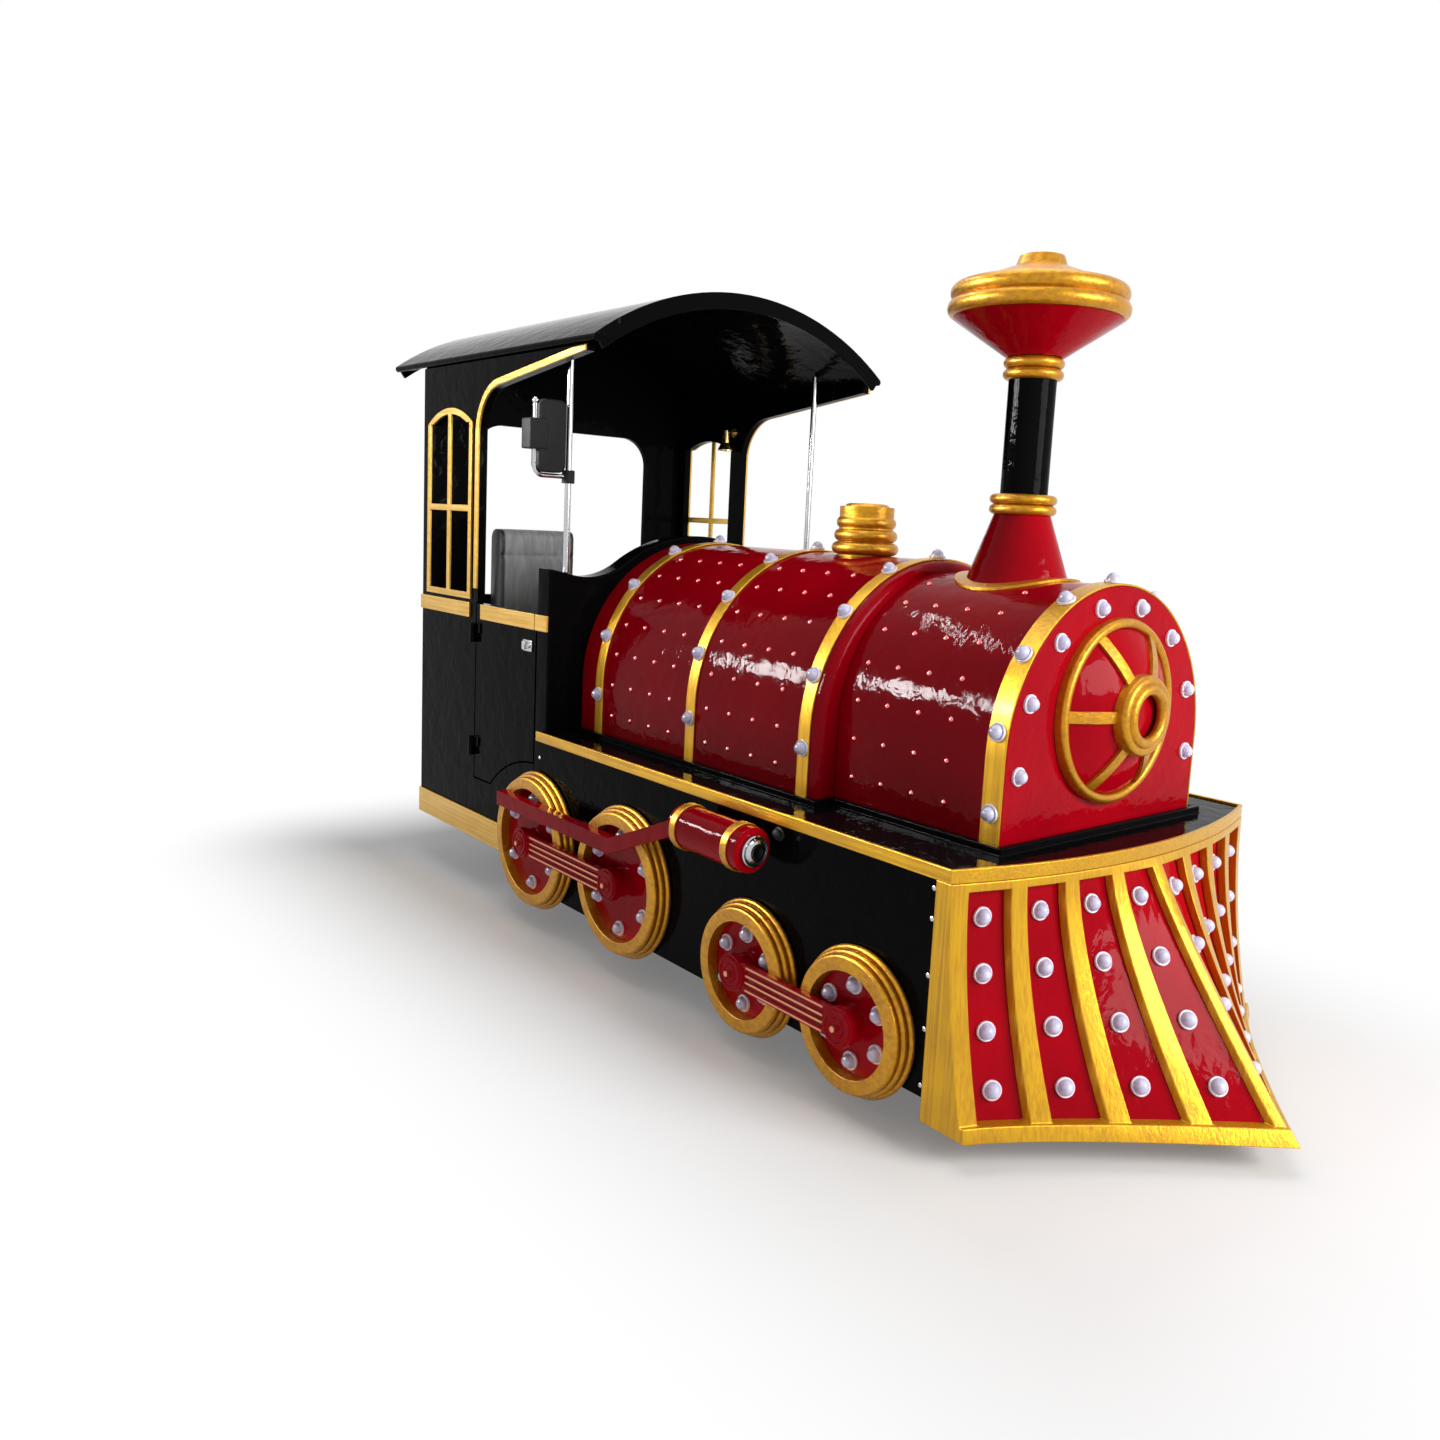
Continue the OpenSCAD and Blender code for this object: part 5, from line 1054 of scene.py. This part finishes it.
class LOCOMOTIVE_OT_mirror(LocomotiveOperator):
    """Rear-view mirror: bent chrome rod with its knob, clamps, rounded housing and glass"""

    bl_idname = "locomotive.mirror"
    bl_label = "Hang the Mirror"

    def execute(self, context):
        low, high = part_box("mirror")
        block_size, block_corner, block_edge, block_lift = Vector((0.060, 0.070, 0.100)), 0.006, 0.003, 0.134
        housing_size, housing_corner, housing_edge = Vector((0.054, 0.105, 0.240)), 0.026, 0.006
        housing_lift, glass_width, glass_height = 0.130, 0.088, 0.220
        ring_high, rod_radius, rod_bend, knob_radius = 0.044, 0.008, 0.030, 0.012
        foot = Vector((0.5 * (low.x + high.x), low.y + 0.5 * block_size.y, low.z + 0.5 * ring_high))
        middle = foot + Vector((0.0, 0.5 * housing_size.y, housing_lift))
        bm = self.rounded(housing_size, housing_corner, housing_edge)
        bmesh.ops.translate(bm, vec=middle, verts=bm.verts)
        clamp = template(self.rounded(block_size, block_corner, block_edge))
        stamp(bm, clamp, Matrix.Translation(foot + Vector((0.0, 0.0, block_lift))))
        ring = template(turned(CLAMP_RING, 32))
        stamp(bm, ring, Matrix.Translation((foot.x, self.post_y(), foot.z)))
        obj = piece("mirror_finished", bm, "root", "plastic", angle=35.0)
        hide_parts("mirror")
        top = high.z - knob_radius
        rod = self.rod(foot, rod_radius, rod_bend, top)
        knob = template(ball(knob_radius, 20, 14))
        stamp(rod, knob, Matrix.Translation((foot.x, foot.y, top)))
        piece("mirror_rod", rod, "root", "chrome", angle=40.0)
        self.glass(middle - Vector((0.5 * housing_size.x, 0.0, 0.0)), glass_width, glass_height)
        return {"FINISHED"}

    def post_y(self):
        """Where the right roof post stands."""
        spots = [v.co.y for v in frame["nodes"]["roof_posts"].data.vertices]
        right = [y for y in spots if y < 0.0]
        return 0.5 * (min(right) + max(right))

    def rounded(self, size, corner, edge):
        """A box whose edges along X are rounded by corner and the others by edge."""
        bm = cube(size)
        along = [e for e in bm.edges if abs(e.verts[0].co.x - e.verts[1].co.x) > 0.5 * size.x]
        round_off(bm, along, corner, 6)
        rims = [e for e in bm.edges if e.calc_face_angle() > 1.0]
        round_off(bm, rims, edge, 3)
        return bm

    def rod(self, foot, radius, bend, top):
        """A round rod from the post that bends upwards."""
        bm = bmesh.new()
        post_gap = 0.014
        start = self.post_y() - post_gap
        ring = bmesh.ops.create_circle(bm, cap_ends=True, segments=16, radius=radius)["verts"]
        bmesh.ops.rotate(bm, cent=(0, 0, 0), matrix=Matrix.Rotation(math.pi / 2, 3, "X"), verts=ring)
        bmesh.ops.translate(bm, vec=(foot.x, start, foot.z), verts=ring)
        face = bm.faces[:]
        for vec in ((0.0, foot.y + bend - start, 0.0), None, (0.0, 0.0, top - foot.z - bend)):
            if vec is None:
                centre = (foot.x, foot.y + bend, foot.z + bend)
                done = bmesh.ops.spin(bm, geom=face, cent=centre, axis=(1, 0, 0), angle=-math.pi / 2, steps=8,
                                      use_merge=False)["geom_last"]
            else:
                done = bmesh.ops.extrude_face_region(bm, geom=face)["geom"]
                bmesh.ops.translate(bm, vec=vec, verts=verts_of(done))
                bmesh.ops.delete(bm, geom=face, context="FACES_ONLY")
            face = [g for g in done if isinstance(g, bmesh.types.BMFace)]
        bmesh.ops.holes_fill(bm, edges=bm.edges, sides=16)
        bmesh.ops.recalc_face_normals(bm, faces=bm.faces)
        return bm

    def glass(self, seat, width, height):
        """Silvered plate with round corners on the housing's rear."""
        corner, thick = 0.020, 0.0022
        bm = bmesh.new()
        bmesh.ops.create_grid(bm, x_segments=1, y_segments=1, size=0.5)
        bmesh.ops.scale(bm, vec=(width, height, 1.0), verts=bm.verts)
        round_off(bm, bm.verts[:], corner, 6, "VERTICES")
        raised = bmesh.ops.extrude_face_region(bm, geom=bm.faces[:])
        bmesh.ops.translate(bm, vec=(0.0, 0.0, thick), verts=verts_of(raised["geom"]))
        bmesh.ops.recalc_face_normals(bm, faces=bm.faces)
        turn = Matrix(((0.0, 0.0, -1.0), (-1.0, 0.0, 0.0), (0.0, 1.0, 0.0))).to_4x4()
        bmesh.ops.transform(bm, matrix=Matrix.Translation(seat) @ turn, verts=bm.verts)
        piece("mirror_glass", bm, "root", "glass", angle=20.0)


class LOCOMOTIVE_OT_stage(LocomotiveOperator):
    """Pale floor, soft light and the photo's camera"""

    bl_idname = "locomotive.stage"
    bl_label = "Set the Stage"

    def execute(self, context):
        stage = context.scene.locomotive_stage
        bm = bmesh.new()
        bmesh.ops.create_circle(bm, cap_ends=True, segments=96, radius=stage.floor_radius)
        mesh = template(bm, "studio_floor")
        mesh.materials.append(self.floor_material(stage))
        floor = bpy.data.objects.new("studio_floor", mesh)
        context.scene.collection.objects.link(floor)
        self.world(context.scene, stage)
        for name, setting, share, size, place, aim, glint in SOFTBOXES:
            self.softbox(context, name, share * getattr(stage, setting), size, place, aim, glint)
        self.camera(context, stage)
        context.scene.view_settings.view_transform = "Standard"
        return {"FINISHED"}

    def floor_material(self, stage):
        """Pale floor near the object that runs out into white."""
        net = Net("studio_floor")
        here = net.place()
        x, y, _ = net.axes(here)
        low, high = CAD_BOX
        middle = 0.5 * (Vector(low) + Vector(high))
        half = 0.5 * (Vector(high) - Vector(low))
        beyond_x = (abs(x - middle.x) - half.x).most(0.0)
        beyond_y = (abs(y - middle.y) - half.y).most(0.0)
        far = ((beyond_x * beyond_x + beyond_y * beyond_y) ** 0.5).rise(-0.3, 0.85)
        mottle = net.noise(here, 3.0, 3.0)
        worn = tint(stage.floor, 0.985)
        material = net.surface(
            Base_Color=net.blend(mottle.rise(0.3, 0.8), stage.floor, worn),
            Roughness=0.62 + 0.1 * mottle,
            Specular_IOR_Level=0.2,
        )
        near = Signal(net, net.shader.outputs[0])
        white = net.make("ShaderNodeEmission", {}, {"Color": WHITE, "Strength": 1.0}, "Emission")
        mixed = net.make("ShaderNodeMixShader", {}, {0: far * net.seen(), 1: near, 2: white}, 0)
        net.feed(net.tree.nodes["Material Output"].inputs["Surface"], mixed)
        return material

    def world(self, scene, stage):
        """White where it is seen or mirrored, an even fill light elsewhere."""
        net = Net("studio_world", bpy.data.worlds)
        level = stage.fill + (1.0 - stage.fill) * net.seen()
        scene.world = net.surface(Color=WHITE, Strength=level)

    def softbox(self, context, name, watts, size, place, aim, glint):
        """An area light that looks at a point; one for glints lights no matt surface."""
        light = bpy.data.lights.new(name, "AREA")
        light.shape = "RECTANGLE"
        light.size, light.size_y = size
        light.energy = watts
        obj = bpy.data.objects.new(name, light)
        obj.matrix_world = Matrix.Translation(place) @ (
            (Vector(place) - Vector(aim)).to_track_quat("Z", "Y").to_matrix().to_4x4())
        obj.visible_diffuse = not glint
        context.scene.collection.objects.link(obj)

    def camera(self, context, stage):
        """The photo's camera, from its place, heading, rise and roll."""
        flat = math.cos(stage.pitch)
        look = Vector((flat * math.cos(stage.yaw), flat * math.sin(stage.yaw), math.sin(stage.pitch)))
        level = Vector((math.sin(stage.yaw), -math.cos(stage.yaw), 0.0))
        lift = level.cross(look)
        right = math.cos(stage.roll) * level + math.sin(stage.roll) * lift
        up = math.cos(stage.roll) * lift - math.sin(stage.roll) * level
        camera = bpy.data.cameras.new("photo_camera")
        camera.lens = stage.lens
        camera.sensor_width = 36.0
        camera.shift_x, camera.shift_y = stage.shift
        obj = bpy.data.objects.new("photo_camera", camera)
        turn = Matrix((right, up, -look)).transposed().to_4x4()
        obj.matrix_world = Matrix.Translation(stage.eye) @ turn
        context.scene.collection.objects.link(obj)
        context.scene.camera = obj


class LOCOMOTIVE_PT_panel(bpy.types.Panel):
    """Lists the steps that build the locomotive"""

    bl_idname = "LOCOMOTIVE_PT_panel"
    bl_label = "Locomotive"
    bl_space_type = "VIEW_3D"
    bl_region_type = "UI"
    bl_category = "Locomotive"

    def draw(self, context):
        for operator in OPERATORS:
            self.layout.operator(operator.bl_idname)


GROUPS = {
    "locomotive_paint": LocomotivePaint,
    "locomotive_detail": LocomotiveDetail,
    "locomotive_seat": LocomotiveSeat,
    "locomotive_stage": LocomotiveStage,
}
OPERATORS = (
    LOCOMOTIVE_OT_paint,
    LOCOMOTIVE_OT_edges,
    LOCOMOTIVE_OT_lamps,
    LOCOMOTIVE_OT_studs,
    LOCOMOTIVE_OT_seat,
    LOCOMOTIVE_OT_tyres,
    LOCOMOTIVE_OT_wheel_nuts,
    LOCOMOTIVE_OT_rods,
    LOCOMOTIVE_OT_screws,
    LOCOMOTIVE_OT_lenses,
    LOCOMOTIVE_OT_mirror,
    LOCOMOTIVE_OT_stage,
)


def register():
    for cls in (*GROUPS.values(), *OPERATORS, LOCOMOTIVE_PT_panel):
        bpy.utils.register_class(cls)
    for name, group in GROUPS.items():
        setattr(bpy.types.Scene, name, PointerProperty(type=group))


def unregister():
    for name in GROUPS:
        delattr(bpy.types.Scene, name)
    for cls in reversed((*GROUPS.values(), *OPERATORS, LOCOMOTIVE_PT_panel)):
        bpy.utils.unregister_class(cls)


def main():
    register()
    for operator in OPERATORS:
        group, step = operator.bl_idname.split(".")
        getattr(getattr(bpy.ops, group), step)()
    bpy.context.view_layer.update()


if __name__ == "__main__":
    main()
